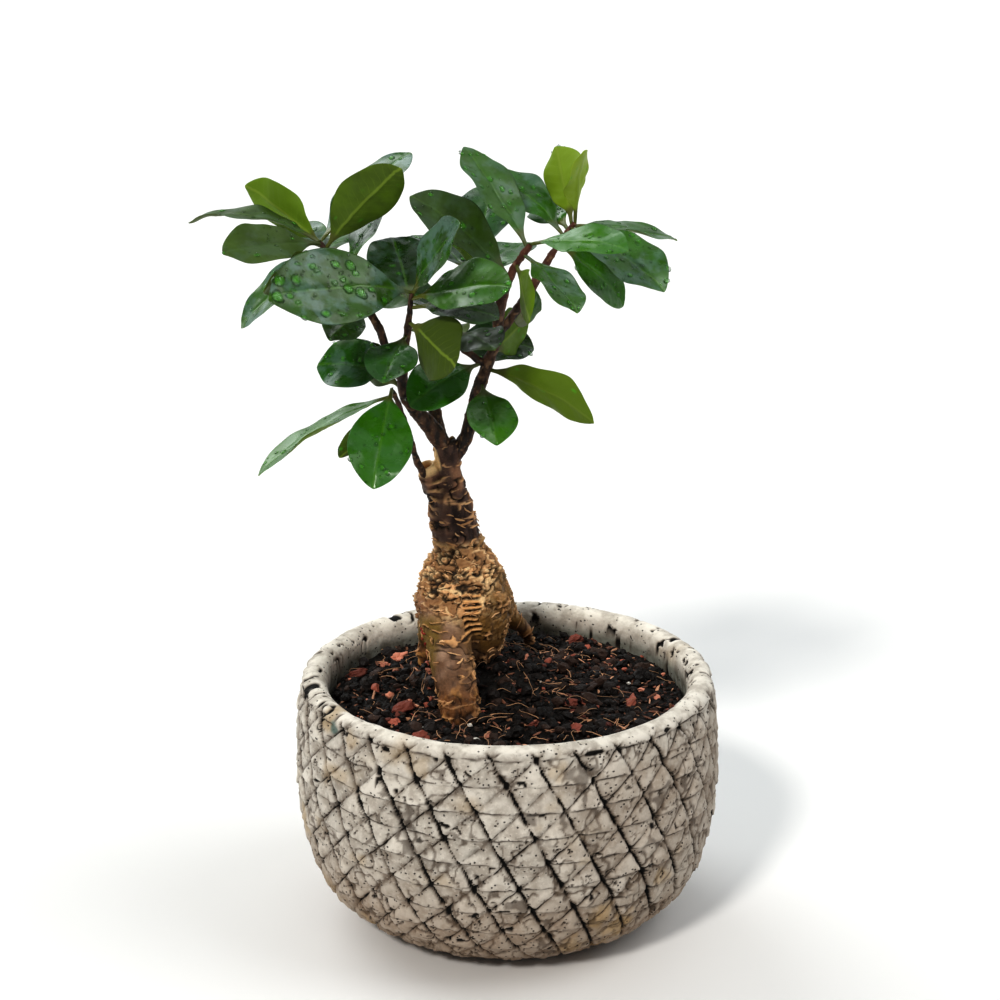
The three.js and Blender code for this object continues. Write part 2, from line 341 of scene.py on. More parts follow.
def store(mesh, name, values):
    """Saves one number, or one colour, for each point of a mesh."""
    values = np.asarray(values, np.float32)
    if values.ndim == 1:
        mesh.attributes.new(name, "FLOAT", "POINT").data.foreach_set("value", values)
        return
    colours = np.ones((len(values), 4), np.float32)
    colours[:, :3] = values[:, :3]
    mesh.color_attributes.new(name, "FLOAT_COLOR", "POINT").data.foreach_set("color", colours.ravel())


def piece(name, mesh, materials, stands_for=()):
    """A finished piece of the tree or its pot."""
    obj = bpy.data.objects.new(name, mesh)
    bpy.context.scene.collection.objects.link(obj)
    mesh.materials.clear()
    for material in materials:
        mesh.materials.append(material)
    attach(obj, "root")
    if stands_for:
        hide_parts(*stands_for)
    return obj


def with_modifiers(mesh, *modifiers):
    """The mesh after these modifiers, each given as its type and its settings."""
    obj = bpy.data.objects.new("working_copy", mesh)
    bpy.context.scene.collection.objects.link(obj)
    for kind, settings in modifiers:
        modifier = obj.modifiers.new(kind.lower(), kind)
        for key, value in settings.items():
            setattr(modifier, key, value)
    bpy.context.view_layer.update()
    graph = bpy.context.evaluated_depsgraph_get()
    result = bpy.data.meshes.new_from_object(obj.evaluated_get(graph))
    bpy.data.objects.remove(obj)
    result.polygons.foreach_set("use_smooth", np.ones(len(result.polygons), bool))
    return result


def joined(parts):
    """Several lists of points and faces as one."""
    points, faces, start = [], [], 0
    for part_points, part_faces in parts:
        points.append(part_points)
        faces.extend([[i + start for i in face] for face in part_faces])
        start += len(part_points)
    return np.vstack(points), faces


def ring_faces(rings, sides):
    """Faces of a closed skin over rings of points that follow each other, capped at both ends."""
    steps = np.arange(sides)
    faces = []
    for ring in range(rings - 1):
        a = ring * sides + steps
        b = ring * sides + (steps + 1) % sides
        faces.extend(np.stack([a, b, b + sides, a + sides], 1).tolist())
    last = (rings - 1) * sides
    faces.append(list(range(sides))[::-1])
    faces.append([last + i for i in range(sides)])
    return faces


def sweep(path, across, out, widths, thicknesses, sides):
    """A closed strand along a path: at each point it has a width and a thickness."""
    angles = np.arange(sides) * 2 * math.pi / sides + math.pi / sides
    rings = []
    for k, centre in enumerate(path):
        ring = centre + np.outer(np.cos(angles) * widths[k] / 2, across[k])
        rings.append(ring + np.outer(np.sin(angles) * thicknesses[k] / 2, out[k]))
    return np.vstack(rings), ring_faces(len(path), sides)


# ---------------------------------------------------------------- materials


class Look:
    """A procedural material with one Principled shader, and short calls for its nodes."""

    def __init__(self, name, **fixed):
        self.material = bpy.data.materials.new(name)
        self.material.use_nodes = True
        self.tree = self.material.node_tree
        self.shader = self.tree.nodes["Principled BSDF"]
        for socket, value in fixed.items():
            self.shader.inputs[socket.replace("_", " ")].default_value = value

    def put(self, socket, value):
        """Links another node's output to a socket, or sets the socket to a constant."""
        if isinstance(value, bpy.types.NodeSocket):
            self.tree.links.new(value, socket)
        else:
            socket.default_value = value

    def node(self, kind, inputs, **settings):
        node = self.tree.nodes.new(kind)
        for key, value in settings.items():
            setattr(node, key, value)
        for key, value in inputs.items():
            self.put(node.inputs[key], value)
        return node

    def math(self, operation, a, b=0.0):
        return self.node("ShaderNodeMath", {0: a, 1: b}, operation=operation).outputs[0]

    def times(self, a, b):
        return self.math("MULTIPLY", a, b)

    def mix(self, share, a, b):
        """Colour a moved towards colour b by this share."""
        return self.node("ShaderNodeMix", {0: share, 6: a, 7: b}, data_type="RGBA").outputs[2]

    def between(self, value, low, high, to_low=0.0, to_high=1.0):
        """A smooth change from to_low to to_high as the value goes from low to high."""
        inputs = {0: value, 1: low, 2: high, 3: to_low, 4: to_high}
        return self.node("ShaderNodeMapRange", inputs, interpolation_type="SMOOTHSTEP").outputs[0]

    def attribute(self, name, output="Fac"):
        return self.node("ShaderNodeAttribute", {}, attribute_name=name).outputs[output]

    def place(self, stretch=(1, 1, 1)):
        """The point on the object, in millimetres, stretched along each axis."""
        here = self.node("ShaderNodeTexCoord", {}).outputs["Object"]
        scale = tuple(1000 * s for s in stretch)
        return self.node("ShaderNodeMapping", {"Vector": here, "Scale": scale}).outputs[0]

    def noise(self, size, detail=3.0, stretch=(1, 1, 1)):
        """Cloudy noise from 0 to 1 with lumps of about this size in millimetres."""
        inputs = {"Vector": self.place(stretch), "Scale": 1 / size, "Detail": detail, "Roughness": 0.55}
        return self.node("ShaderNodeTexNoise", inputs).outputs["Fac"]

    def spots(self, size, stretch=(1, 1, 1)):
        """Distance to the nearest of many scattered dots, in shares of the gap between them."""
        inputs = {"Vector": self.place(stretch), "Scale": 1 / size}
        return self.node("ShaderNodeTexVoronoi", inputs).outputs["Distance"]

    def colour(self, value):
        self.put(self.shader.inputs["Base Color"], value)

    def roughness(self, value):
        self.put(self.shader.inputs["Roughness"], value)

    def bump(self, height, depth, strength=1.0):
        """Relief of this depth in millimetres, on top of any bump set before."""
        inputs = {"Height": height, "Distance": depth * MM, "Strength": strength}
        before = self.shader.inputs["Normal"].links
        if before:
            inputs["Normal"] = before[0].from_socket
        self.put(self.shader.inputs["Normal"], self.node("ShaderNodeBump", inputs).outputs[0])


def cement_pits(look):
    """Small and large air holes, from 0 to 1; they are painted near black as the shade inside them."""
    small = look.between(look.spots(1.7), 0.26, 0.16)
    small_chance = look.between(look.noise(3.4, 1), 0.5, 0.58)
    large = look.between(look.spots(4.1, stretch=(1, 1, 1.7)), 0.15, 0.1)
    large_chance = look.between(look.noise(5.5, 1), 0.47, 0.53)
    return look.math("MAXIMUM", look.times(small, small_chance), look.times(large, large_chance))


def cement_look():
    """Weathered cement: clouds, damp, ochre and green stains, air holes and carved lines painted dark as
    their shade, painted shade on its right side and painted light on the facets.
    """
    look = Look("carved_cement", Specular_IOR_Level=0.3)
    # The marks: painted shade in the carved cuts, each facet's tone with painted light and shade, and the
    # ochre stain.
    marks = look.node("ShaderNodeSeparateColor", {0: look.attribute("marks", "Color")}).outputs
    groove, facet, ochre = marks[0], marks[1], marks[2]
    tinge = look.node("ShaderNodeSeparateColor", {0: look.attribute("tinge", "Color")}).outputs
    damp_and_painted_side_shade, green, inside = tinge[0], tinge[1], tinge[2]
    # Facet tone, with painted light on raised relief and painted shade where it sinks.
    base = look.mix(facet, srgb(96, 86, 76), srgb(232, 226, 216))
    cloud = look.between(look.noise(6, 5), 0.38, 0.66)
    base = look.mix(look.times(cloud, 0.5), base, srgb(140, 128, 115))
    speckle = look.between(look.noise(1.2, 3), 0.5, 0.72)
    base = look.mix(look.times(speckle, 0.4), base, srgb(228, 221, 211))
    # Browner with damp towards the foot, and with painted shade on the right side.
    base = look.mix(look.times(damp_and_painted_side_shade, 0.75), base, srgb(136, 108, 80))
    inner = look.mix(cloud, srgb(116, 124, 119), srgb(66, 71, 67))
    base = look.mix(look.times(inside, 0.85), base, inner)
    base = look.mix(look.times(ochre, 0.6), base, srgb(172, 142, 90))
    base = look.mix(look.times(green, 0.8), base, srgb(74, 104, 98))
    pits = cement_pits(look)
    # Painted shade: the air holes are darkened nearly to black.
    base = look.mix(look.times(pits, 0.85), base, srgb(24, 20, 17))
    # Painted shade: a brown darkening beside the grooves and near black inside them.
    painted_groove_shade = look.between(groove, 0.0, 0.5, 0.0, 0.55)
    base = look.mix(painted_groove_shade, base, srgb(84, 68, 54))
    base = look.mix(look.between(groove, 0.3, 0.8), base, srgb(18, 15, 12))
    look.colour(base)
    look.roughness(look.between(look.noise(3), 0.3, 0.7, 0.72, 0.92))
    look.bump(look.noise(1.0, 4), 0.3, 0.7)
    look.bump(look.noise(2.6, 2), 0.5, 0.5)
    look.bump(look.math("SUBTRACT", 1.0, pits), 0.5, 0.8)
    return look.material


def soil_look():
    """Dull grains, each in the colour stored on it."""
    look = Look("potting_mix", Specular_IOR_Level=0.22)
    tint = look.attribute("tint", "Color")
    grain = look.between(look.noise(0.7, 3), 0.3, 0.75)
    dusty = look.mix(0.2, tint, srgb(130, 110, 98))
    look.colour(look.mix(look.times(grain, 0.35), tint, dusty))
    look.roughness(look.between(look.noise(1.5), 0.3, 0.7, 0.35, 0.85))
    look.bump(look.noise(0.5, 4), 0.25, 0.9)
    return look.material


def bark_look(name, specular=0.3):
    """Bark in the colour stored on it, with dark streaks and pale flecks."""
    look = Look(name, Specular_IOR_Level=specular)
    tint = look.attribute("tint", "Color")
    streak = look.between(look.noise(1.1, 4, (1, 1, 2.2)), 0.35, 0.7)
    darker = look.mix(0.55, tint, srgb(20, 12, 8))
    colour = look.mix(look.times(streak, 0.3), tint, darker)
    fleck = look.between(look.noise(0.5, 2), 0.62, 0.75)
    colour = look.mix(look.times(fleck, 0.35), colour, srgb(196, 160, 118))
    look.colour(colour)
    look.roughness(look.between(look.noise(2.5), 0.3, 0.7, 0.45, 0.8))
    look.bump(look.noise(0.6, 4, (1, 1, 1.8)), 0.22, 0.9)
    return look.material


def leaf_look(name, top):
    """The waxy upper side of a leaf, or its matt olive underside."""
    look = Look(name, Specular_IOR_Level=0.55 if top else 0.3)
    along = look.attribute("along")
    across = look.attribute("across")
    tone = look.attribute("tone")
    young = look.attribute("young")
    wet = look.attribute("wet")
    dull = look.attribute("dull")
    film = look.attribute("film")
    if top:
        dark, light = srgb(12, 44, 8), srgb(50, 112, 14)
        vein, fresh = srgb(98, 146, 44), srgb(136, 168, 40)
    else:
        dark, light = srgb(46, 66, 6), srgb(98, 130, 14)
        vein, fresh = srgb(136, 158, 54), srgb(160, 184, 52)
    blotch = look.times(look.noise(9, 3), 0.9)
    body = look.mix(look.between(look.math("ADD", tone, blotch), 0.3, 1.35), dark, light)
    body = look.mix(young, body, fresh)
    outward = look.math("ABSOLUTE", across)
    midrib = look.between(outward, 0.75, 0.2)
    slant = look.math("SUBTRACT", along, look.times(outward, 0.62))
    slant = look.math("ADD", slant, look.times(look.noise(5, 1), 2.4))
    saw = look.math("FRACT", look.math("DIVIDE", slant, 3.1))
    ridge = look.math("ABSOLUTE", look.math("SUBTRACT", saw, 0.5))
    side_vein = look.times(look.between(ridge, 0.07, 0.0), look.between(outward, 9, 2))
    veins = look.math("MAXIMUM", midrib, look.times(side_vein, 0.16 if top else 0.3))
    colour = look.mix(look.times(veins, 0.3 if top else 0.6), body, vein)
    colour = look.mix(look.between(along, 7.5, 4.5), colour, srgb(92, 98, 38))
    faded = look.mix(blotch, srgb(36, 50, 4), srgb(72, 88, 8))
    colour = look.mix(look.times(dull, 0.7), colour, faded)
    if top:
        # Painted sheen: pale blue-grey patches standing in for reflected light.
        sheen_patches = look.between(look.noise(8, 3), 0.44, 0.6)
        colour = look.mix(look.times(film, sheen_patches), colour, srgb(106, 134, 128))
    # Painted light: the leaf is brighter green under the larger drops, as if lit through them.
    colour = look.mix(look.times(wet, 0.8), colour, srgb(84, 164, 30))
    look.colour(colour)
    smear = look.noise(6, 3)
    if top:
        gloss = look.between(smear, 0.36, 0.64, 0.17, 0.36)
        look.roughness(look.math("ADD", gloss, look.times(dull, 0.4)))
    else:
        look.roughness(look.between(smear, 0.3, 0.7, 0.45, 0.62))
    look.bump(look.math("SUBTRACT", 1.0, veins), 0.1, 0.6)
    look.bump(look.noise(0.55, 2), 0.03, 0.5)
    return look.material


def water_look():
    """Clear water, with a painted shade of dark green round the rim of each drop."""
    look = Look("water", Transmission_Weight=1.0, Roughness=0.02, IOR=1.333, Alpha=0.7)
    look.colour(look.mix(look.attribute("rim"), srgb(250, 255, 250), srgb(40, 70, 36)))
    return look.material


def floor_look():
    look = Look("pale_floor", Roughness=0.7, Specular_IOR_Level=0.2)
    look.colour(look.mix(look.noise(400, 2), srgb(234, 233, 232), srgb(239, 238, 237)))
    return look.material


# ---------------------------------------------------------------- pot


def pot_profile():
    """Radius and height of each row, from the foot over the lip to the floor inside.

    The two numbers after the rows say where the outer wall starts and ends among them.
    """
    side = [(radius, share * POT_HEIGHT) for share, radius in POT_SIDE]
    outer = smooth_path([(POT_FOOT_RADIUS + 2, 0.4), *side, (77.6, POT_HEIGHT - LIP_ROUND)], POT_ROWS)
    lip = [
        (LIP_RADIUS + LIP_ROUND * math.cos(a), POT_HEIGHT - LIP_ROUND + LIP_ROUND * math.sin(a))
        for a in np.linspace(0, math.pi, LIP_ROWS + 1)[1:]
    ]
    inner_wall = [(66.4, 86), (66.6, 80), (68, 70), (68, 50), (65, 32), (60, 20)]
    inner_floor = [(48, POT_FLOOR), (20, POT_FLOOR)]
    under = [(15, 0), (30, 0), (42, 0), (POT_FOOT_RADIUS, 0)]
    rows = np.vstack([under, outer, lip, inner_wall, inner_floor])
    return rows, len(under), len(under) + len(outer)


def wiggles(points, size, width, seed, keep=0.0):
    """Short crooked lines, from 0 to 1; a higher `keep` leaves fewer of them."""
    bent = points + size * 0.35 * np.stack([noise(points, size * 0.6, seed + k) for k in range(3)], 1)
    line = np.abs(noise(bent, size, seed + 5))
    return ease(width, width * 0.35, line) * ease(keep, keep + 0.25, noise(points, size * 1.4, seed + 9))


def carving(turn, drop):
    """The carved lozenges: height over the pot's skin, painted shade in each groove, and each facet's tone
    with painted light and shade.
    """
    spot = np.stack([BELLY_RADIUS * np.cos(turn), BELLY_RADIUS * np.sin(turn), drop], 1)
    around = BELLY_RADIUS * turn - LOZENGE_START + 0.85 * rough_noise(spot, 9, 3)
    below = drop - FIRST_ROW + 0.85 * rough_noise(spot, 8, 5)
    ragged = rough_noise(spot, 1.9, 11)
    down = below / LOZENGE_DROP
    right = (around - LOZENGE_LEAN * down) / LOZENGE_WIDTH
    other = right + down

    def to_line(value, spacing):
        return np.abs(value - np.round(value)) * spacing

    main = to_line(right, STEEP_GAP)
    cross = to_line(other, CROSS_GAP)
    level = to_line(down, LOZENGE_DROP)
    past_level = down - np.round(down)
    knot_aside = LOZENGE_WIDTH * (right - np.round(right)) + LOZENGE_LEAN * past_level
    knot = np.hypot(knot_aside, LOZENGE_DROP * past_level * 0.6)

    main_half = 0.38 + 0.32 * noise(spot, 6, 21) + 0.55 * ragged
    cross_half = 0.13 + 0.3 * noise(spot, 8, 23) + 0.3 * ragged
    level_half = 0.26 + 0.2 * noise(spot, 6, 24) + 0.2 * ragged
    knot_half = 0.75 + 0.55 * noise(spot, 5, 25) + 0.5 * ragged
    main_cut = ease(main_half + 0.3, main_half - 0.25, main)
    cross_cut = ease(cross_half + 0.3, cross_half - 0.25, cross)
    part = right - np.floor(right)
    level_cut = ease(level_half + 0.3, level_half - 0.2, level) * ease(0.95, 0.5, part)
    knot_cut = ease(knot_half + 0.4, knot_half - 0.4, knot)

    facet_cell = np.stack([np.floor(right), np.floor(other), np.floor(down)], 1)
    facet = lattice_random(facet_cell, 31)
    tilt = lattice_random(facet_cell, 33) - 0.5
    rounded = np.clip(np.minimum(main, cross) / 2.4, 0, 1) ** 0.6
    fall = down - np.floor(down)
    height = 0.85 * rounded + 0.8 * (fall - 0.5) * rounded
    height += 0.2 * (facet - 0.5) + 1.7 * tilt * (part - 0.5)
    rough_part = ease(34, 75, drop)
    wrinkle = wiggles(spot, 5.0, 0.18, 131, -0.2 - 0.3 * rough_part)
    scratch = wiggles(spot * (0.7, 0.7, 1.1), 3.2, 0.13, 141, 0.2 - 0.14 * rough_part)
    nick = wiggles(spot * (0.8, 0.8, 1.2), 2.0, 0.16, 147, 0.12 - 0.1 * rough_part)
    scratch = np.maximum(scratch, 0.75 * nick) * ease(-0.1, 0.1, noise(spot, 2.4, 149))
    height += 0.3 * ease(0.0, 0.3, noise(spot, 3.4, 151)) - (0.3 + 0.3 * rough_part) * wrinkle
    cut = 1.15 * main_cut + 0.75 * cross_cut + 0.5 * level_cut + 1.3 * knot_cut + 0.7 * scratch
    # Painted shade: the carved cuts, scratches and wrinkles are darkened where shade falls in them.
    lines = [main_cut, 0.85 * cross_cut, 0.65 * level_cut, knot_cut, 0.8 * scratch, 0.42 * wrinkle]
    painted_cut_shade = np.maximum.reduce(lines)
    fade = ease(-5.5, -1.0, drop + 1.2 * noise(spot, 6, 155))
    # Painted light and shade: each facet's random tone, lightened where its relief stands high and darkened
    # where it sinks.
    shade = 0.25 * facet + 0.62 * ease(-0.2, 0.95, height)
    return (height - np.minimum(cut, 1.7)) * fade, painted_cut_shade * fade, 1 + (shade - 1) * fade


def stains(turn, z):
    """How ochre and how green each point of the pot is, from 0 to 1."""
    around = np.stack([BELLY_RADIUS * np.cos(turn), BELLY_RADIUS * np.sin(turn), z], 1)
    blur = noise(around, 3, 161)
    ochre = ease(0.35, 0.8, rough_noise(around, 15, 163)) * 0.6
    green = np.zeros(len(z))
    for degrees, height, radius, ochre_share, green_share in STAINS:
        angle = math.radians(degrees)
        centre = np.array([BELLY_RADIUS * math.cos(angle), BELLY_RADIUS * math.sin(angle), height])
        near = ease(1.2, 0.5, np.linalg.norm(around - centre, axis=1) / radius + 0.4 * blur)
        ochre = np.maximum(ochre, ochre_share * near)
        green = np.maximum(green, green_share * near)
    return ochre, green


def wear(angle, z, around, cracked, chipped, inside):
    """Cracks and chips of the lip and the wall inside, from 0 to 1.

    `cracked` is how far each point takes the lip's fine cracks, and `chipped` marks the points that the
    deep chips may reach.
    """
    cracks = wiggles(around, 4.2, 0.34, 175, -0.1) * cracked
    cracks = cracks * ease(-0.8, -0.5, np.sin(angle))
    cracks = cracks * ease(-0.1, 0.1, noise(around, 3, 179))
    inner = wiggles(around * (0.6, 0.6, 1.2), 2.6, 0.14, 187, 0.25) * inside
    worn = np.maximum(cracks, 0.7 * inner)
    uneven = 0.35 * noise(around, 1.4, 199)
    for degrees, height, half_width, half_height in LIP_CHIPS:
        aside = (angle - math.radians(degrees) + math.pi) % (2 * math.pi) - math.pi
        reach = np.hypot(LIP_GIRTH * aside / half_width, (z - height) / half_height) + uneven
        worn = np.maximum(worn, ease(1.2, 0.8, reach) * chipped)
    return worn


def build_pot(material):
    """The pot as one closed skin of rings, carved, worn and stained, with its drain holes cut."""
    rows, first, last = pot_profile()
    turn = np.arange(POT_COLUMNS) * 2 * math.pi / POT_COLUMNS
    angle = np.tile(turn, len(rows))
    radius = np.repeat(rows[:, 0], POT_COLUMNS)
    z = np.repeat(rows[:, 1], POT_COLUMNS)
    row = np.repeat(np.arange(len(rows)), POT_COLUMNS)
    length = np.r_[0, np.cumsum(np.linalg.norm(np.diff(rows, axis=0), axis=1))]
    drop = np.repeat(length[last] - length, POT_COLUMNS)
    carved = (row >= first) & (drop > -7)
    inside = row >= last + LIP_ROWS
    relief = np.zeros(len(row))
    painted_cut_shade = np.zeros(len(row))
    facet = np.full(len(row), 1.0)
    relief[carved], painted_cut_shade[carved], facet[carved] = carving(angle[carved], drop[carved])

    around = np.stack([75 * np.cos(angle), 75 * np.sin(angle), z + 0.6 * radius], 1)
    cracked = ease(9, 0, drop) * (row >= first)
    worn = wear(angle, z, around, cracked, row < last + LIP_ROWS // 2, inside)
    # Painted shade: the lip's cracks and chips and the scratches inside are darkened too.
    painted_cut_shade = np.maximum(painted_cut_shade, 0.9 * worn)
    lumps = rough_noise(around, 16, 41, 3) + 0.35 * rough_noise(around, 3.5, 45, 2)
    skin = relief - 1.0 * ease(-5, 0, drop) + 0.4 * lumps - 0.65 - 0.8 * worn
    slope = np.gradient(rows, axis=0)
    slope /= np.linalg.norm(slope, axis=1)[:, None]
    above_foot = ease(0, 4, z)
    radius = radius + skin * np.repeat(slope[:, 1], POT_COLUMNS) * above_foot
    z = np.where(z > 0, z - skin * np.repeat(slope[:, 0], POT_COLUMNS) * above_foot, z)
    points = np.stack([radius * np.cos(angle), radius * np.sin(angle), z], 1)

    mesh = mesh_of("pot", points, ring_faces(len(rows), POT_COLUMNS))

    ochre, green = stains(angle, z)
    store(mesh, "marks", np.stack([painted_cut_shade, facet, np.where(inside, 0.15, ochre)], 1))
    # Painted shade: the pot's right side, towards +X and a little to the front, is browned darker below the
    # lip.
    painted_side_shade = 0.45 * ease(0.1, 0.95, np.cos(angle + math.radians(15)))
    damp_and_painted_side_shade = 0.9 * ease(60, 2, z + 6 * noise(around, 18, 47))
    damp_and_painted_side_shade = np.maximum(damp_and_painted_side_shade, painted_side_shade * ease(96, 80, z)) * (1 - inside)
    store(mesh, "tinge", np.stack([damp_and_painted_side_shade, np.where(inside, 0, green), inside], 1))
    return piece("pot_carved", drilled(mesh), [material], ["pot"])


def drilled(mesh):
    """The pot's mesh with its drain holes cut."""
    drills = bmesh.new()
    for step in range(3):
        angle = step * 2 * math.pi / 3
        x, y = DRAIN_CIRCLE * math.cos(angle), DRAIN_CIRCLE * math.sin(angle)
        centre = Vector((x, y, POT_FLOOR / 2)) * MM
        bmesh.ops.create_cone(
            drills,
            cap_ends=True,
            segments=40,
            radius1=DRAIN_RADIUS * MM,
            radius2=DRAIN_RADIUS * MM,
            depth=3 * POT_FLOOR * MM,
            matrix=Matrix.Translation(centre),
        )
    cutter_mesh = bpy.data.meshes.new("drills")
    drills.to_mesh(cutter_mesh)
    drills.free()
    cutter = bpy.data.objects.new("drills", cutter_mesh)
    bpy.context.scene.collection.objects.link(cutter)
    settings = {"operation": "DIFFERENCE", "solver": "MANIFOLD", "object": cutter}
    result = with_modifiers(mesh, ("BOOLEAN", settings))
    bpy.data.objects.remove(cutter)
    return result


# ---------------------------------------------------------------- wood


def tree_of(mesh):
    """A search tree over a mesh's faces, in metres."""
    return BVHTree.FromPolygons([v.co for v in mesh.vertices], [p.vertices for p in mesh.polygons])


def grown_in(node, parents, reach, sink):
    """A copy of a node's mesh whose points near a parent are drawn into it, so that no gap shows."""
    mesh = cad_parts[node].data.copy()
    trees = [tree_of(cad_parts[parent].data) for parent in parents]
    for vertex in mesh.vertices:
        for tree in trees:
            place, normal, _, distance = tree.find_nearest(vertex.co)
            if place is not None and distance < reach * MM:
                vertex.co = place - normal * sink * MM
                break
    return mesh


def paint(base, colour, share):
    """Colours moved towards another by a share for each point."""
    share = np.clip(share, 0, 1)[:, None]
    return base * (1 - share) + np.array(colour[:3]) * share


def bulb_surface(p):
    """Flaking bark of the swollen trunk: pale broken plates between cracks painted black as the shade in
    them.
    """
    flat = p * (1, 1, 1.7)
    bent = flat + 1.8 * np.stack([noise(p, 5, 65 + k) for k in range(3)], 1)
    scale = rough_noise(bent, 5.2, 201, 4)
    plate = ease(-0.05, 0.06, scale)
    second = rough_noise(bent, 3.1, 211, 3)
    flake = ease(0.12, 0.2, second)
    crack = np.maximum(wiggles(flat, 3.9, 0.24, 221, -0.25), ease(0.11, 0.02, np.abs(scale)) * 0.9)
    crack = np.maximum(crack, 0.9 * wiggles(flat, 2.7, 0.2, 236, -0.05))
    peel = np.maximum(wiggles(flat, 4, 0.2, 231, -0.1), wiggles(flat, 2.6, 0.18, 233, 0.0))
    grain = rough_noise(p, 1.6, 241)

    relief = 0.65 * plate + 0.5 * flake + 0.4 * grain - 1.3 * crack + 0.7 * peel - 0.5
    colour = np.tile(srgb(196, 152, 106)[:3], (len(p), 1))
    colour = paint(colour, srgb(244, 194, 142), plate * 0.85)
    colour = paint(colour, srgb(255, 222, 172), flake * plate * 0.9)
    colour = paint(colour, srgb(112, 68, 38), ease(0.05, -0.55, scale) * 0.5)
    colour = paint(colour, srgb(60, 36, 20), ease(0.15, 0.7, grain) * 0.6)
    colour = paint(colour, srgb(255, 218, 168), peel * 0.9)
    # Painted shade: the cracks are darkened nearly to black.
    colour = paint(colour, srgb(14, 9, 6), crack * 0.95)
    left = ease(-24, -31, p[:, 0]) * ease(126, 118, p[:, 2]) * 0.5
    return relief, paint(colour, srgb(112, 58, 42), left)


def root_surface(p):
    """Smoother skin of the roots and of the bulb's right side, with a few pale flaps, painted highlights on
    the foot's knobs and painted shade in the pits and cracks.
    """
    x, _, z = p.T
    flat = p * (1, 1, 1.9)
    flap = wiggles(flat, 4.6, 0.12, 251, 0.02)
    crack = wiggles(flat + 0.5, 4.6, 0.13, 251, 0.0) * (1 - flap)
    crack = np.maximum(crack, 0.8 * wiggles(flat, 6.5, 0.1, 261, 0.05))
    swell = rough_noise(p, 6, 271)
    grain = rough_noise(p * (1, 1, 0.6), 1.8, 281)
    knobs = ease(101, 94, z)
    ring = wiggles(p * (0.3, 0.3, 1), 3.4, 0.12, 291, 0.0)

    relief = 0.5 * swell + 0.2 * grain + 0.7 * flap - 0.6 * crack + 0.3 * ring
    knob = rough_noise(p * (1, 1, 0.7), 3.6, 301)
    relief += knobs * 1.3 * knob
    colour = np.tile(srgb(126, 94, 70)[:3], (len(p), 1))
    colour = paint(colour, srgb(186, 154, 130), ease(-0.1, 0.7, swell) * 0.75)
    right = ease(-17, -8, x + 0.4 * (z - 105)) * ease(98, 104, z)
    colour = paint(colour, srgb(138, 102, 50), right)
    edge = ease(-2.5, -6, x + 22 - 0.2 * (z - 105)) * ease(92, 98, z) * ease(122, 116, z)
    colour = paint(colour, srgb(126, 102, 34), edge * 0.8)
    colour = paint(colour, srgb(132, 88, 50), knobs)
    # Painted highlight: the tops of the foot's knobs are lightened.
    colour = paint(colour, srgb(222, 166, 100), knobs * ease(0.15, 0.5, knob) * 0.8)
    right_root = ease(10, 14, x) * ease(122, 114, z)
    colour = paint(colour, srgb(84, 66, 56), right_root * 0.8)
    colour = paint(colour, srgb(50, 30, 18), ease(0.05, 0.6, grain) * 0.55)
    # Painted shade: the pits between the knobs and the cracks are darkened.
    pit = knobs * ease(0.05, -0.4, knob)
    colour = paint(colour, srgb(28, 16, 9), np.maximum(crack * 0.9, pit * 0.85))
    colour = paint(colour, srgb(232, 180, 126), np.maximum(flap * 0.95, ring * 0.35))
    return relief, colour


def stem_bark(p):
    """Dark folded bark above the neck, with painted highlights on the folds, painted shade between them and
    in the cracks.
    """
    fold = rough_noise(p * (1, 1, 0.4), 3.2, 311)
    lump = rough_noise(p, 5.5, 321)
    crack = wiggles(p * (1, 1, 1.3), 4.5, 0.16, 331, -0.05)
    mark = wiggles(p * (0.6, 0.6, 1.6), 3.0, 0.2, 341, 0.05)
    relief = 0.9 * fold + 0.9 * lump - 1.0 * crack + 0.55 * mark
    colour = np.tile(srgb(90, 66, 56)[:3], (len(p), 1))
    # Painted highlight on the folds' crests and painted shade in their troughs.
    colour = paint(colour, srgb(160, 118, 90), ease(0.0, 0.6, fold) * 0.85)
    colour = paint(colour, srgb(30, 19, 16), ease(0.0, -0.5, fold) * 0.8)
    colour = paint(colour, srgb(236, 186, 138), mark * 0.85)
    # Painted shade: the cracks are darkened nearly to black.
    return relief, paint(colour, srgb(12, 8, 7), crack * 0.9)


def scar_ladder(p, relief, colour):
    """A row of level scars up the bulb's front, like the rungs of a ladder, with painted shade between
    them.
    """
    x, y, z = p.T
    beside = np.abs(x + 13 + 1.5 * noise(p, 2.0, 96))
    ladder = ease(3.6, 2.5, beside) * ease(110, 112, z) * ease(129, 125, z) * ease(4, -2, y)
    rung = np.sin((z + 0.6 * noise(p, 3, 97)) * 2 * math.pi / 2.2)
    relief = relief * (1 - 0.6 * ladder) + ladder * 0.9 * rung
    colour = paint(colour, srgb(238, 184, 124), ladder * ease(0, 0.7, rung))
    # Painted shade: the troughs between the rungs are darkened.
    return relief, paint(colour, srgb(26, 15, 8), ladder * ease(0.1, -0.7, rung) * 0.9)


def scar_column(p, relief, colour):
    """Pale swollen scars one above the other on the left of the upper stem."""
    x, y, z = p.T
    beside = (x + 27.5 - 0.25 * (z - 160)) / 2.2
    column = np.exp(-(beside**2)) * ease(150, 154, z) * ease(171, 168, z) * ease(9, 6, y)
    step = np.sin((z + noise(p, 2.5, 98)) * 2 * math.pi / 3.4)
    relief = relief + column * 0.9 * step
    return relief, paint(colour, srgb(222, 178, 132), column * ease(0.1, 0.8, step) * 0.95)


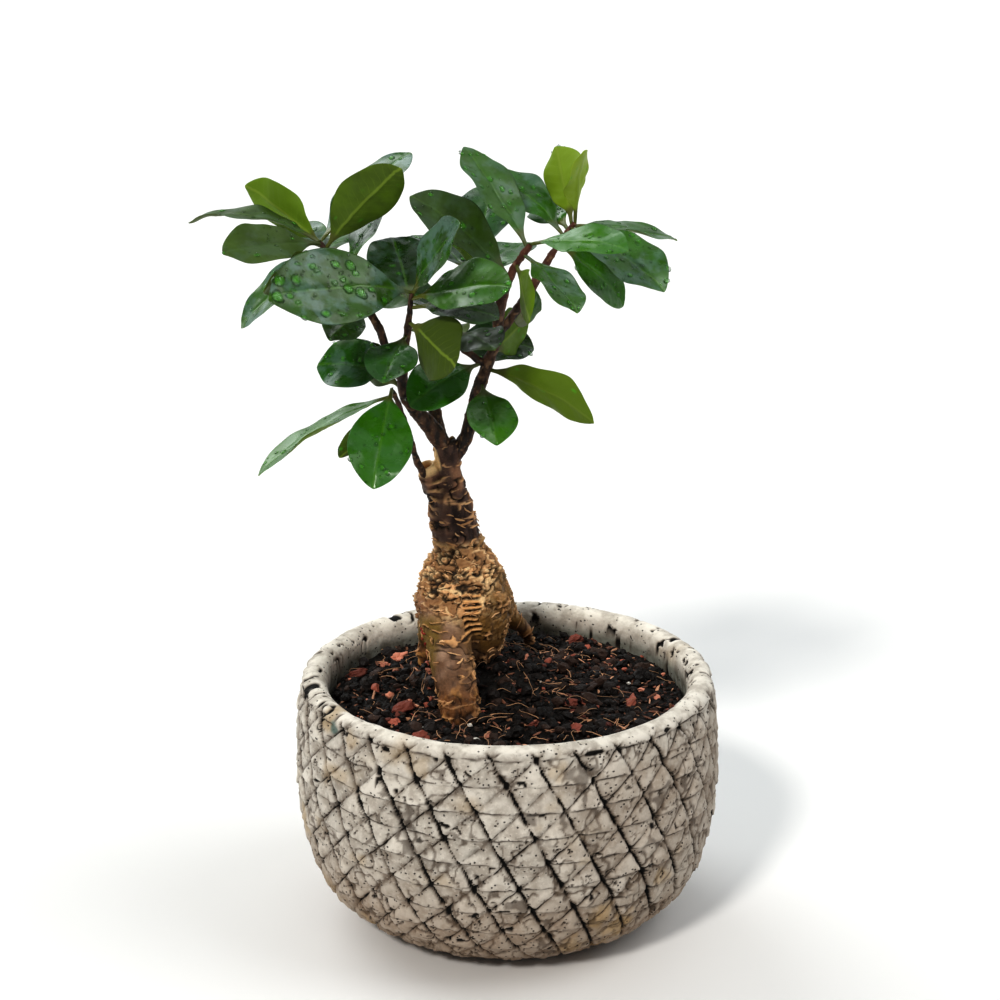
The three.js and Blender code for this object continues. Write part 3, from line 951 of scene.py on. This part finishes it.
def sawn_end(p, relief, colour):
    """The pale sawn face of the stub, with its hollow heart."""
    tip = p - STUB_TOP
    height = tip @ STUB_AXIS
    aside = np.linalg.norm(tip - np.outer(height, STUB_AXIS), axis=1)
    face = ease(-4.0, -2.0, height) * ease(6, 5, aside)
    hollow = ease(2.7, 1.6, aside + 0.5 * noise(p, 2, 105)) * face
    relief = relief * (1 - face) + face * 0.5 * noise(p, 2, 107) - 2.2 * hollow
    colour = paint(colour, srgb(255, 216, 164), face)
    return relief, paint(colour, srgb(190, 122, 66), hollow * 0.8)


def trunk_surface(p):
    """Height of the trunk's bark over its CAD skin, in millimetres, and its colour."""
    x, y, z = p.T
    wobble = noise(p, 7, 91)
    upper = ease(140, 145, z + 2 * wobble)
    front_root = ease(5, -2, y + 3 * wobble) * ease(124, 114, z + 3 * wobble)
    right_side = ease(-11, -4, x + 4 * wobble) * ease(133, 123, z + 4 * wobble)
    low = ease(112, 104, z + 3 * wobble)
    smooth = np.clip(np.maximum.reduce([front_root, 0.85 * right_side, low]), 0, 1)

    bulb, bulb_colour = bulb_surface(p)
    root, root_colour = root_surface(p)
    stem, stem_colour = stem_bark(p)
    relief = bulb * (1 - smooth) + root * smooth
    colour = bulb_colour * (1 - smooth[:, None]) + root_colour * smooth[:, None]
    relief = relief * (1 - upper) + stem * upper
    colour = colour * (1 - upper[:, None]) + stem_colour * upper[:, None]

    graft = np.exp(-((z - GRAFT_HEIGHT - 0.8 * wobble) ** 2)) * ease(-0.5, 0.2, noise(p, 3, 101))
    relief += 0.9 * graft
    colour = paint(colour, srgb(206, 164, 112), graft)
    for add_mark in (scar_ladder, scar_column, sawn_end):
        relief, colour = add_mark(p, relief, colour)
    return relief + 0.35 * rough_noise(p, 12, 61), colour


def stem_surface(p):
    """Height and colour of the bark of the limbs and twigs."""
    ridged = rough_noise(p * (1, 1, 0.5), 1.6, 111)
    lumps = rough_noise(p, 5, 113)
    spots = ease(0.4, 0.7, noise(p, 1.2, 115))
    relief = 0.3 * ridged + 0.4 * lumps + 0.15 * spots
    colour = np.tile(srgb(30, 19, 15)[:3], (len(p), 1))
    colour = paint(colour, srgb(98, 68, 50), ease(-0.5, 0.6, ridged))
    reddish = ease(228, 244, p[:, 2]) * ease(-14, 2, p[:, 0]) * 0.5
    colour = paint(colour, srgb(112, 58, 42), reddish)
    return relief, paint(colour, srgb(150, 116, 86), spots * 0.6)


def build_wood(node, parents, voxel, surface, material):
    """A woody CAD solid, remeshed finely, with the height and colour of its bark."""
    mesh = with_modifiers(
        grown_in(node, parents, 0.9, 0.8),
        ("REMESH", {"mode": "VOXEL", "voxel_size": voxel * MM}),
        ("SMOOTH", {"factor": 0.5, "iterations": 8}),
    )
    points = coordinates(mesh)
    relief, colour = surface(points)
    move_to(mesh, points + point_normals(mesh) * relief[:, None])
    store(mesh, "tint", colour)
    return piece(node + "_bark", mesh, [material], [node])


def build_peels(trunk, material):
    """Thin pale strips of bark that peel off the trunk, mostly sideways, and a red thread on its left."""
    draw = random.Random(7)
    tree = tree_of(trunk.data)
    strands, colours = [], []

    def lay(start, heading, length, width, thickness, colour, lift):
        steps = max(4, int(length / 0.7))
        place, path, out = Vector(start) * MM, [], []
        for _ in range(steps):
            hit, normal, _, _ = tree.find_nearest(place)
            path.append(np.array(hit) / MM)
            out.append(np.array(normal))
            heading = (heading - normal * heading.dot(normal)).normalized()
            heading = (heading + Vector((0, 0, draw.uniform(-0.25, 0.25)))).normalized()
            place = hit + heading * (length / steps) * MM
        path, out = np.array(path), np.array(out)
        share = np.linspace(-1, 1, steps)
        path = path + out * (lift * share**2 + 0.1)[:, None]
        along = np.gradient(path, axis=0)
        along /= np.linalg.norm(along, axis=1)[:, None] + 1e-9
        across = np.cross(out, along)
        widths = width * (1 - 0.75 * share**4)
        points, faces = sweep(path, across, out, widths, np.full(steps, thickness), 6)
        strands.append((points, faces))
        colours.append(np.tile(colour[:3], (len(points), 1)))

    pale = [srgb(240, 196, 148), srgb(222, 174, 124), srgb(200, 150, 104)]
    for _ in range(170):
        z = draw.uniform(90, 160)
        angle = draw.uniform(0, 2 * math.pi)
        side = Vector((math.cos(angle), math.sin(angle), 0))
        middle = Vector((*BULB_CENTRE, z))
        hit = tree.ray_cast((middle + side * 60) * MM, -side)[0]
        if hit is None or (z < 100 and (hit / MM - middle).length > 40):
            continue
        heading = side.cross(Vector((0, 0, 1))) * draw.choice((-1, 1))
        heading = (heading + Vector((0, 0, draw.uniform(-0.5, 0.5)))).normalized()
        size = draw.uniform(0.4, 1.1)
        lay(hit / MM, heading, draw.uniform(2, 7.5), size, 0.4, draw.choice(pale), draw.uniform(0.1, 0.9))
    red = srgb(176, 66, 58)
    for z, drift in ((114, -1), (110, 1), (107, -0.6)):
        hit = tree.ray_cast(Vector((-60, -6, z)) * MM, Vector((1, 0, 0)))[0]
        if hit is not None:
            for tilt in (0.8, -0.8):
                lay(hit / MM, Vector((0, drift, tilt)).normalized(), 5, 0.9, 0.8, red, 0.5)
    points, faces = joined(strands)
    mesh = mesh_of("bark_peels", points, faces)
    move_to(mesh, coordinates(mesh))
    store(mesh, "tint", np.vstack(colours))
    return piece("bark_peels", mesh, [material])


# ---------------------------------------------------------------- leaves


def leaf_frame(mesh, wood):
    """A leaf's own axes: its stalk end, the way it points, its width and its upper side."""
    p = coordinates(mesh)
    centre = p.mean(0)
    _, _, axes = np.linalg.svd(p - centre, full_matrices=False)
    along, across, up = axes
    ends = [p[np.argmin((p - centre) @ along)], p[np.argmax((p - centre) @ along)]]
    gaps = [wood.find_nearest(Vector(end) * MM)[3] for end in ends]
    if gaps[1] < gaps[0]:
        along = -along
        ends.reverse()
    side = np.abs((p - centre) @ across)
    height = (p - centre) @ up
    reach = (p - ends[0]) @ along
    widest = np.abs(reach - reach[np.argmax(side)]) < 0.09 * reach.max()
    rim = widest & (side > 0.8 * side.max())
    spine = widest & (side < 0.3 * side.max())
    if height[rim].mean() < height[spine].mean():
        up = -up
    across = np.cross(up, along)
    return ends[0], along, across, up


def leaf_cage(node):
    """The leaf's CAD solid as a cage for smoothing, with its rim kept sharp."""
    bm = bmesh.new()
    bm.from_mesh(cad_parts[node].data)
    bmesh.ops.remove_doubles(bm, verts=bm.verts, dist=1e-6)
    bmesh.ops.join_triangles(
        bm, faces=bm.faces, angle_face_threshold=0.7, angle_shape_threshold=1.2, cmp_seam=False
    )
    crease = bm.edges.layers.float.new("crease_edge")
    for edge in bm.edges:
        if len(edge.link_faces) == 2 and edge.calc_face_angle() > math.radians(95):
            edge[crease] = 1.0
    cage = bpy.data.meshes.new(node)
    bm.to_mesh(cage)
    bm.free()
    return cage


def leaf_outline(share, side, slices=40):
    """The middle and half the width of a leaf at each point's share of its length."""
    bins = np.clip((share * slices).astype(int), 0, slices)
    low = np.zeros(slices + 1)
    high = np.zeros(slices + 1)
    for b in np.unique(bins):
        low[b] = side[bins == b].min()
        high[b] = side[bins == b].max()
    centres = np.arange(slices + 1) + 0.5
    middle = np.interp(share * slices, centres, (low + high) / 2)
    return middle, np.interp(share * slices, centres, (high - low) / 2)


def build_leaf(node, wood, materials):
    """A leaf with a waved edge, a sunken midrib and its two sides' finishes."""
    draw = random.Random(node)
    cage = leaf_cage(node)
    start, along, across, up = leaf_frame(cage, wood)
    mesh = with_modifiers(cage, ("SUBSURF", {"levels": 3, "render_levels": 3}))

    p = coordinates(mesh)
    reach = (p - start) @ along
    length = reach.max()
    side = (p - start) @ across
    middle, half = leaf_outline(reach / length, side)
    offset = side - middle
    share = np.clip(np.abs(offset) / np.maximum(half, 0.8), 0, 1)
    blade = ease(5, 11, reach)

    ripple = reach / length * draw.uniform(9, 15) + draw.uniform(0, 6)
    wave = np.sin(ripple + np.sign(offset) * draw.uniform(0.4, 1.4))
    bend = 0.8 * wave * share**2.5 * np.minimum(half / 8, 1)
    bend += 1.0 * noise(p + draw.uniform(0, 99), 11) + 0.36 * noise(p, 4.5, 5)
    rib = -0.38 * np.exp(-((offset / 0.8) ** 2)) * ease(length, 0.7 * length, reach)
    quilt = 0.045 * np.sin((reach - 0.62 * np.abs(offset)) * 2 * math.pi / 3.1) * ease(0.05, 0.4, share)
    shift = blade * (bend + rib + quilt * (1 - share**4))
    stalk_end = reach < 3
    gaps = np.array([wood.find_nearest(Vector(q) * MM)[3] for q in p[stalk_end]]) / MM
    sunk = np.zeros(len(p))
    sunk[stalk_end] = 0.7 * ease(0.9, 0.3, gaps)
    move_to(mesh, p + up * shift[:, None] - along * sunk[:, None])

    store(mesh, "along", reach)
    store(mesh, "across", offset)
    finish = {
        "tone": LEAF_TONES.get(node, draw.uniform(0.1, 0.7)),
        "wet": 0.0,
        "dull": DULL_LEAVES.get(node, 0.0),
        "film": PAINTED_SHEEN_LEAVES.get(node, USUAL_PAINTED_SHEEN),
        "young": YOUNG_LEAVES.get(node, draw.uniform(0, 0.12)),
    }
    for mark, value in finish.items():
        store(mesh, mark, np.full(len(p), value))
    leaf = piece(node + "_blade", mesh, materials, [node])
    normals = np.zeros(len(mesh.polygons) * 3)
    mesh.polygons.foreach_get("normal", normals)
    below = (normals.reshape(-1, 3) @ up) < 0
    mesh.polygons.foreach_set("material_index", below.astype(np.int32))
    leaf["up"] = up.tolist()
    return leaf


def drop_shape(draw, radius):
    """A bead of water lying flat, with an uneven outline, and how near the rim each of its points is."""
    sides = 14
    lobes = [draw.uniform(-0.24, 0.24) for _ in range(4)]
    angles = np.arange(sides) * 2 * math.pi / sides
    outline = 1 + lobes[0] * np.cos(angles) + lobes[1] * np.sin(2 * angles)
    outline += lobes[2] * np.cos(2 * angles) + lobes[3] * np.sin(3 * angles) * 0.6
    x, y = np.cos(angles) * outline, np.sin(angles) * outline
    rings = []
    for share, height in ((0.94, -0.12), (1.0, 0.06), (0.9, 0.22), (0.66, 0.34), (0.34, 0.4)):
        rings.append(np.stack([x * share, y * share, np.full(sides, height)], 1) * radius)
    points = np.vstack(rings + [np.array([[0, 0, 0.42 * radius]])])
    faces = [list(range(sides))[::-1]]
    for r in range(4):
        for i in range(sides):
            a, b = r * sides + i, r * sides + (i + 1) % sides
            faces.append([a, b, b + sides, a + sides])
    top = 4 * sides
    for i in range(sides):
        faces.append([top + i, top + (i + 1) % sides, 5 * sides])
    # How much painted shade each ring takes, darkest at the rim.
    rim = np.r_[np.repeat([0.9, 1, 0.5, 0.05, 0], sides), 0]
    return points, faces, rim


def wettable(mesh, up):
    """The faces on a leaf's upper side, away from its stalk and rim, that a drop can lie on."""
    reach = [item.value for item in mesh.attributes["along"].data]
    offset = [item.value for item in mesh.attributes["across"].data]
    limit = 0.82 * max(abs(o) for o in offset)
    faces = []
    for face in mesh.polygons:
        first = face.vertices[0]
        on_blade = reach[first] > 9 and abs(offset[first]) < limit
        faces_up = face.normal.z > 0.1 and face.normal.dot(up) > 0.6
        if face.material_index == 0 and on_blade and faces_up:
            faces.append(face)
    return faces


def build_drops(leaves, material):
    """Drops of water on the leaves, all in one piece; the leaf under each larger drop gets a painted light
    spot.
    """
    draw = random.Random(23)
    beads, rims = [], []
    for leaf in leaves:
        mesh = leaf.data
        node = leaf.name.replace("_blade", "")
        count, largest = WET_LEAVES.get(node, USUAL_DROPS)
        spots = wettable(mesh, Vector(leaf["up"]))
        if not spots:
            continue
        taken = []
        surface = coordinates(mesh)
        wet = np.zeros(len(surface))
        weights = [f.area for f in spots]
        for face in draw.choices(spots, weights, k=count):
            radius = 0.25 + (largest - 0.25) * draw.random() ** 2.7
            centre = face.center / MM
            if any((centre - other).length < radius + size for other, size in taken):
                continue
            taken.append((centre, radius))
            # A painted light spot on the leaf under each larger drop.
            if radius > 0.45:
                gaps = np.linalg.norm(surface - np.array(centre), axis=1)
                wet = np.maximum(wet, ease(0.95, 0.5, gaps / radius))
            points, faces, rim = drop_shape(draw, radius)
            upright = face.normal.to_track_quat("Z", "Y").to_matrix()
            turn = upright @ Matrix.Rotation(draw.uniform(0, 6), 3, "Z")
            points = points @ np.array(turn).T + np.array(centre)
            beads.append((points, faces))
            rims.append(rim)
        mesh.attributes["wet"].data.foreach_set("value", wet.astype(np.float32))
    points, faces = joined(beads)
    mesh = mesh_of("water_drops", points, faces)
    move_to(mesh, coordinates(mesh))
    store(mesh, "rim", np.concatenate(rims))
    return piece("water_drops", mesh, [material])


# ---------------------------------------------------------------- soil


def soil_height(x, y):
    """Height of the soil's surface, which rises to a heap behind the front root."""
    spot = np.stack([x, y, np.zeros_like(x)], 1)
    surface = SOIL_AT_WALL + (SOIL_AT_TRUNK - SOIL_AT_WALL) * (1 - np.hypot(x, y) / SOIL_RADIUS)
    from_heap = np.hypot(x - HEAP_CENTRE[0], y - HEAP_CENTRE[1])
    heap = HEAP_TOP + (SOIL_AT_WALL - HEAP_TOP) * (from_heap / HEAP_RADIUS) ** 2.2
    return np.maximum(surface, heap) + 1.1 * rough_noise(spot, 12, 121) - 1.2


def build_soil_bed(material):
    """The dark bed under the loose granules, near black: the soil's own dark colour with painted shade for
    the gaps between the grains.
    """
    rings, columns = 70, 220
    radius = np.repeat(np.linspace(0.5, SOIL_RADIUS - 0.3, rings), columns)
    angle = np.tile(np.arange(columns) * 2 * math.pi / columns, rings)
    x, y = radius * np.cos(angle), radius * np.sin(angle)
    spot = np.stack([x, y, 0 * x], 1)
    z = soil_height(x, y) - 0.8 + 0.7 * rough_noise(spot, 2.2, 123)
    top = np.stack([x, y, z], 1)
    wall = top[-columns:] * (0.97, 0.97, 0) + (0, 0, 70)
    points = np.vstack([top, wall])
    faces = []
    for r in range(rings):
        a = r * columns + np.arange(columns)
        b = r * columns + (np.arange(columns) + 1) % columns
        faces.append(np.stack([a, a + columns, b + columns, b], 1))
    faces = np.vstack(faces).tolist()
    faces.append(list(range(columns)))
    final = rings * columns
    faces.append([final + i for i in range(columns)][::-1])
    mesh = mesh_of("soil_bed", points, faces)
    # Near black: dark soil, partly painted shade of the gaps between the grains.
    shade = 0.5 + 0.5 * noise(points, 1.5, 125)
    colour = np.outer(1 - shade, srgb(3, 3, 2)[:3]) + np.outer(shade, srgb(14, 10, 8)[:3])
    store(mesh, "tint", colour)
    return piece("soil_bed", mesh, [material], ["soil"])


def rock_template(levels):
    """Points and faces of a ball that the grains are made from."""
    bm = bmesh.new()
    bmesh.ops.create_icosphere(bm, subdivisions=levels, radius=1)
    points = np.array([v.co for v in bm.verts])
    faces = [[v.index for v in f.verts] for f in bm.faces]
    bm.free()
    return points, faces


ROCKS = {level: rock_template(level) for level in (1, 2, 3)}

# Loose bits on the soil: how many, the range of their radius, how long and how tall they are beside it,
# the detail of their shape, and their colours.
GRANULES = [
    ("crumbs", 2400, (0.3, 0.8), (1, 1.8), (0.6, 1), 1,
     [(6, 5, 4), (16, 12, 10), (76, 50, 41), (10, 9, 9)]),
    ("charcoal", 760, (0.9, 2.5), (1, 1.5), (0.6, 1), 2,
     [(14, 11, 11), (34, 29, 28), (7, 5, 5), (20, 15, 14), (60, 44, 37)]),
    ("slivers", 620, (0.3, 0.6), (3, 7), (0.5, 0.9), 1,
     [(140, 96, 76), (226, 172, 138), (60, 38, 30)]),
    ("lava", 120, (0.6, 1.7), (1, 1.6), (0.55, 0.9), 2,
     [(176, 100, 80), (222, 152, 126), (110, 58, 48)]),
    ("lava_lumps", 16, (1.6, 2.8), (1.1, 1.8), (0.5, 0.8), 3,
     [(190, 112, 92), (226, 152, 126), (146, 80, 66)]),
    ("tan_bits", 70, (0.35, 1.0), (1, 2.6), (0.5, 0.9), 1,
     [(184, 136, 104), (150, 104, 78)]),
    ("perlite", 14, (0.6, 1.2), (1, 1.5), (0.6, 0.9), 2,
     [(236, 232, 224)]),
]


def build_granules(trunk, material):
    """The loose grains on the soil, one piece for each kind."""
    draw = np.random.default_rng(31)
    tree = tree_of(trunk.data)
    for name, count, sizes, lengths, heights, level, colours in GRANULES:
        template, template_faces = ROCKS[level]
        parts, tints = [], []
        for _ in range(count):
            size = sizes[0] + (sizes[1] - sizes[0]) * draw.random() ** 1.6
            radius = (SOIL_RADIUS - 0.6 - size) * math.sqrt(draw.random())
            angle = draw.random() * 2 * math.pi
            x, y = radius * math.cos(angle), radius * math.sin(angle)
            z = soil_height(np.array([x]), np.array([y]))[0] + size * draw.uniform(-0.6, 0.7)
            centre = Vector((x, y, z))
            hit, normal, _, distance = tree.find_nearest(centre * MM)
            if (centre * MM - hit).dot(normal) < 0 and distance > 0.5 * size * MM:
                continue
            lumps = 1 + 0.75 * rough_noise(template * 3 + draw.random(3) * 99, 2.2, 1, level)
            shape = template * lumps[:, None]
            shape = shape * (size * draw.uniform(*lengths), size, size * draw.uniform(*heights))
            turn = Matrix.Rotation(draw.uniform(0, 6.3), 3, "Z")
            tip = Matrix.Rotation(draw.uniform(-0.6, 0.6), 3, "X")
            roll = Matrix.Rotation(draw.uniform(-0.4, 0.4), 3, "Y")
            spin = turn @ tip @ roll
            parts.append((shape @ np.array(spin).T + (x, y, z), template_faces))
            tint = np.array(srgb(*colours[draw.integers(len(colours))])[:3]) * draw.uniform(0.6, 1.15)
            tints.append(np.tile(tint, (len(template), 1)))
        points, faces = joined(parts)
        mesh = mesh_of(name, points, faces)
        mesh.polygons.foreach_set("use_smooth", np.zeros(len(mesh.polygons), bool))
        store(mesh, "tint", np.vstack(tints))
        piece("soil_" + name, mesh, [material])


def build_fibres(material):
    """Thin pale root fibres lying on the soil."""
    draw = np.random.default_rng(37)
    parts, tints = [], []
    for _ in range(130):
        radius = 60 * math.sqrt(draw.random())
        angle = draw.random() * 2 * math.pi
        heading = draw.random() * 2 * math.pi
        place = np.array([radius * math.cos(angle), radius * math.sin(angle)])
        length = draw.uniform(4, 14)
        steps = 9
        path = []
        for _ in range(steps):
            heading += draw.uniform(-0.45, 0.45)
            place = place + np.array([math.cos(heading), math.sin(heading)]) * length / steps
            if np.hypot(*place) > 64:
                place *= 64 / np.hypot(*place)
            path.append([*place, soil_height(place[:1], place[1:])[0] + 1.3])
        path = np.array(path)
        path[:, 2] += draw.uniform(0, 1.3) * np.sin(np.linspace(0, math.pi, steps))
        along = np.gradient(path, axis=0)
        along /= np.linalg.norm(along, axis=1)[:, None]
        up = np.tile([0, 0, 1.0], (steps, 1))
        across = np.cross(up, along)
        width = draw.uniform(0.18, 0.42) * np.linspace(1, 0.5, steps)
        strand = sweep(path, across, up, width, width, 5)
        parts.append(strand)
        shade = draw.uniform(0.5, 1.0)
        tints.append(np.tile(np.array(srgb(226, 178, 138)[:3]) * shade, (len(strand[0]), 1)))
    points, faces = joined(parts)
    mesh = mesh_of("soil_fibres", points, faces)
    store(mesh, "tint", np.vstack(tints))
    return piece("soil_fibres", mesh, [material])


# ---------------------------------------------------------------- stage


def sky(background, tree):
    """Soft light that is brighter behind the tree than in front of it."""
    direction = tree.nodes.new("ShaderNodeTexCoord").outputs["Generated"]
    weigh = tree.nodes.new("ShaderNodeVectorMath")
    weigh.operation = "DOT_PRODUCT"
    weigh.inputs[1].default_value = (-0.15, 0.75, 0.4)
    tree.links.new(direction, weigh.inputs[0])
    ramp = tree.nodes.new("ShaderNodeValToRGB")
    ramp.color_ramp.interpolation = "EASE"
    ramp.color_ramp.elements[0].position = 0.0
    ramp.color_ramp.elements[0].color = (0.32, 0.32, 0.32, 1)
    ramp.color_ramp.elements[1].position = 0.8
    ramp.color_ramp.elements[1].color = (0.93, 0.98, 1, 1)
    tree.links.new(weigh.outputs["Value"], ramp.inputs[0])
    tree.links.new(ramp.outputs[0], background.inputs["Color"])


def add_lamp(name, towards, energy, degrees, colour):
    """A sun lamp that shines from this direction, as wide as this many degrees of sky."""
    light = bpy.data.lights.new(name, "SUN")
    light.energy = energy
    light.angle = math.radians(degrees)
    light.color = colour
    holder = bpy.data.objects.new(name, light)
    holder.rotation_euler = Vector(towards).to_track_quat("Z", "Y").to_euler()
    bpy.context.scene.collection.objects.link(holder)


def build_camera():
    """The camera of the reference view, a little above level, and the tone of its picture."""
    camera_data = bpy.data.cameras.new("camera")
    camera_data.sensor_width = 36
    camera_data.lens = CAMERA_LENS
    camera = bpy.data.objects.new("camera", camera_data)
    back = Vector((0, -math.cos(CAMERA_ELEVATION), math.sin(CAMERA_ELEVATION)))
    camera.location = CAMERA_TARGET + back * CAMERA_DISTANCE
    camera.rotation_euler = (math.pi / 2 - CAMERA_ELEVATION, 0, 0)
    bpy.context.scene.collection.objects.link(camera)
    bpy.context.scene.camera = camera
    view = bpy.context.scene.view_settings
    view.view_transform = "Standard"
    view.gamma = 0.78


def build_stage():
    """A pale floor, a soft sky and three lamps like the windows of a room."""
    bpy.ops.mesh.primitive_plane_add(size=12, location=(0, 0, -0.0002))
    floor = bpy.context.object
    floor.name = "floor"
    floor.data.materials.append(floor_look())

    world = bpy.data.worlds.new("studio")
    bpy.context.scene.world = world
    world.use_nodes = True
    background = world.node_tree.nodes["Background"]
    background.inputs["Strength"].default_value = 0.8
    sky(background, world.node_tree)

    cool, warm = (0.96, 0.99, 1), (1, 0.97, 0.92)
    add_lamp("right_window", (0.68, -0.05, 0.75), 1.1, 40, cool)
    add_lamp("back_window", (-0.5, 0.6, 0.6), 1.2, 44, cool)
    add_lamp("key", (-0.45, -0.9, 0.85), 1.9, 9, warm)


def build_all():
    build_stage()
    build_camera()
    build_pot(cement_look())
    bark = bark_look("bark")
    twig_bark = bark_look("twig_bark", 0.4)
    trunk = build_wood("trunk", [], 0.4, trunk_surface, bark)
    for stem, parents in STEM_PARENTS.items():
        build_wood(stem, parents, 0.36, stem_surface, twig_bark)
    build_peels(trunk, bark)

    soil = soil_look()
    build_soil_bed(soil)
    build_granules(trunk, soil)
    build_fibres(soil)

    leaf_sides = [leaf_look("leaf_top", True), leaf_look("leaf_underside", False)]
    stems = {stem: tree_of(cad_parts[stem].data) for stem in STEM_PARENTS}
    leaves = []
    for node in sorted(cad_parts):
        if node.startswith("leaf_"):
            stem = node[len("leaf_") : node.rindex("_")]
            leaves.append(build_leaf(node, stems[stem], leaf_sides))
    build_drops(leaves, water_look())


build_all()
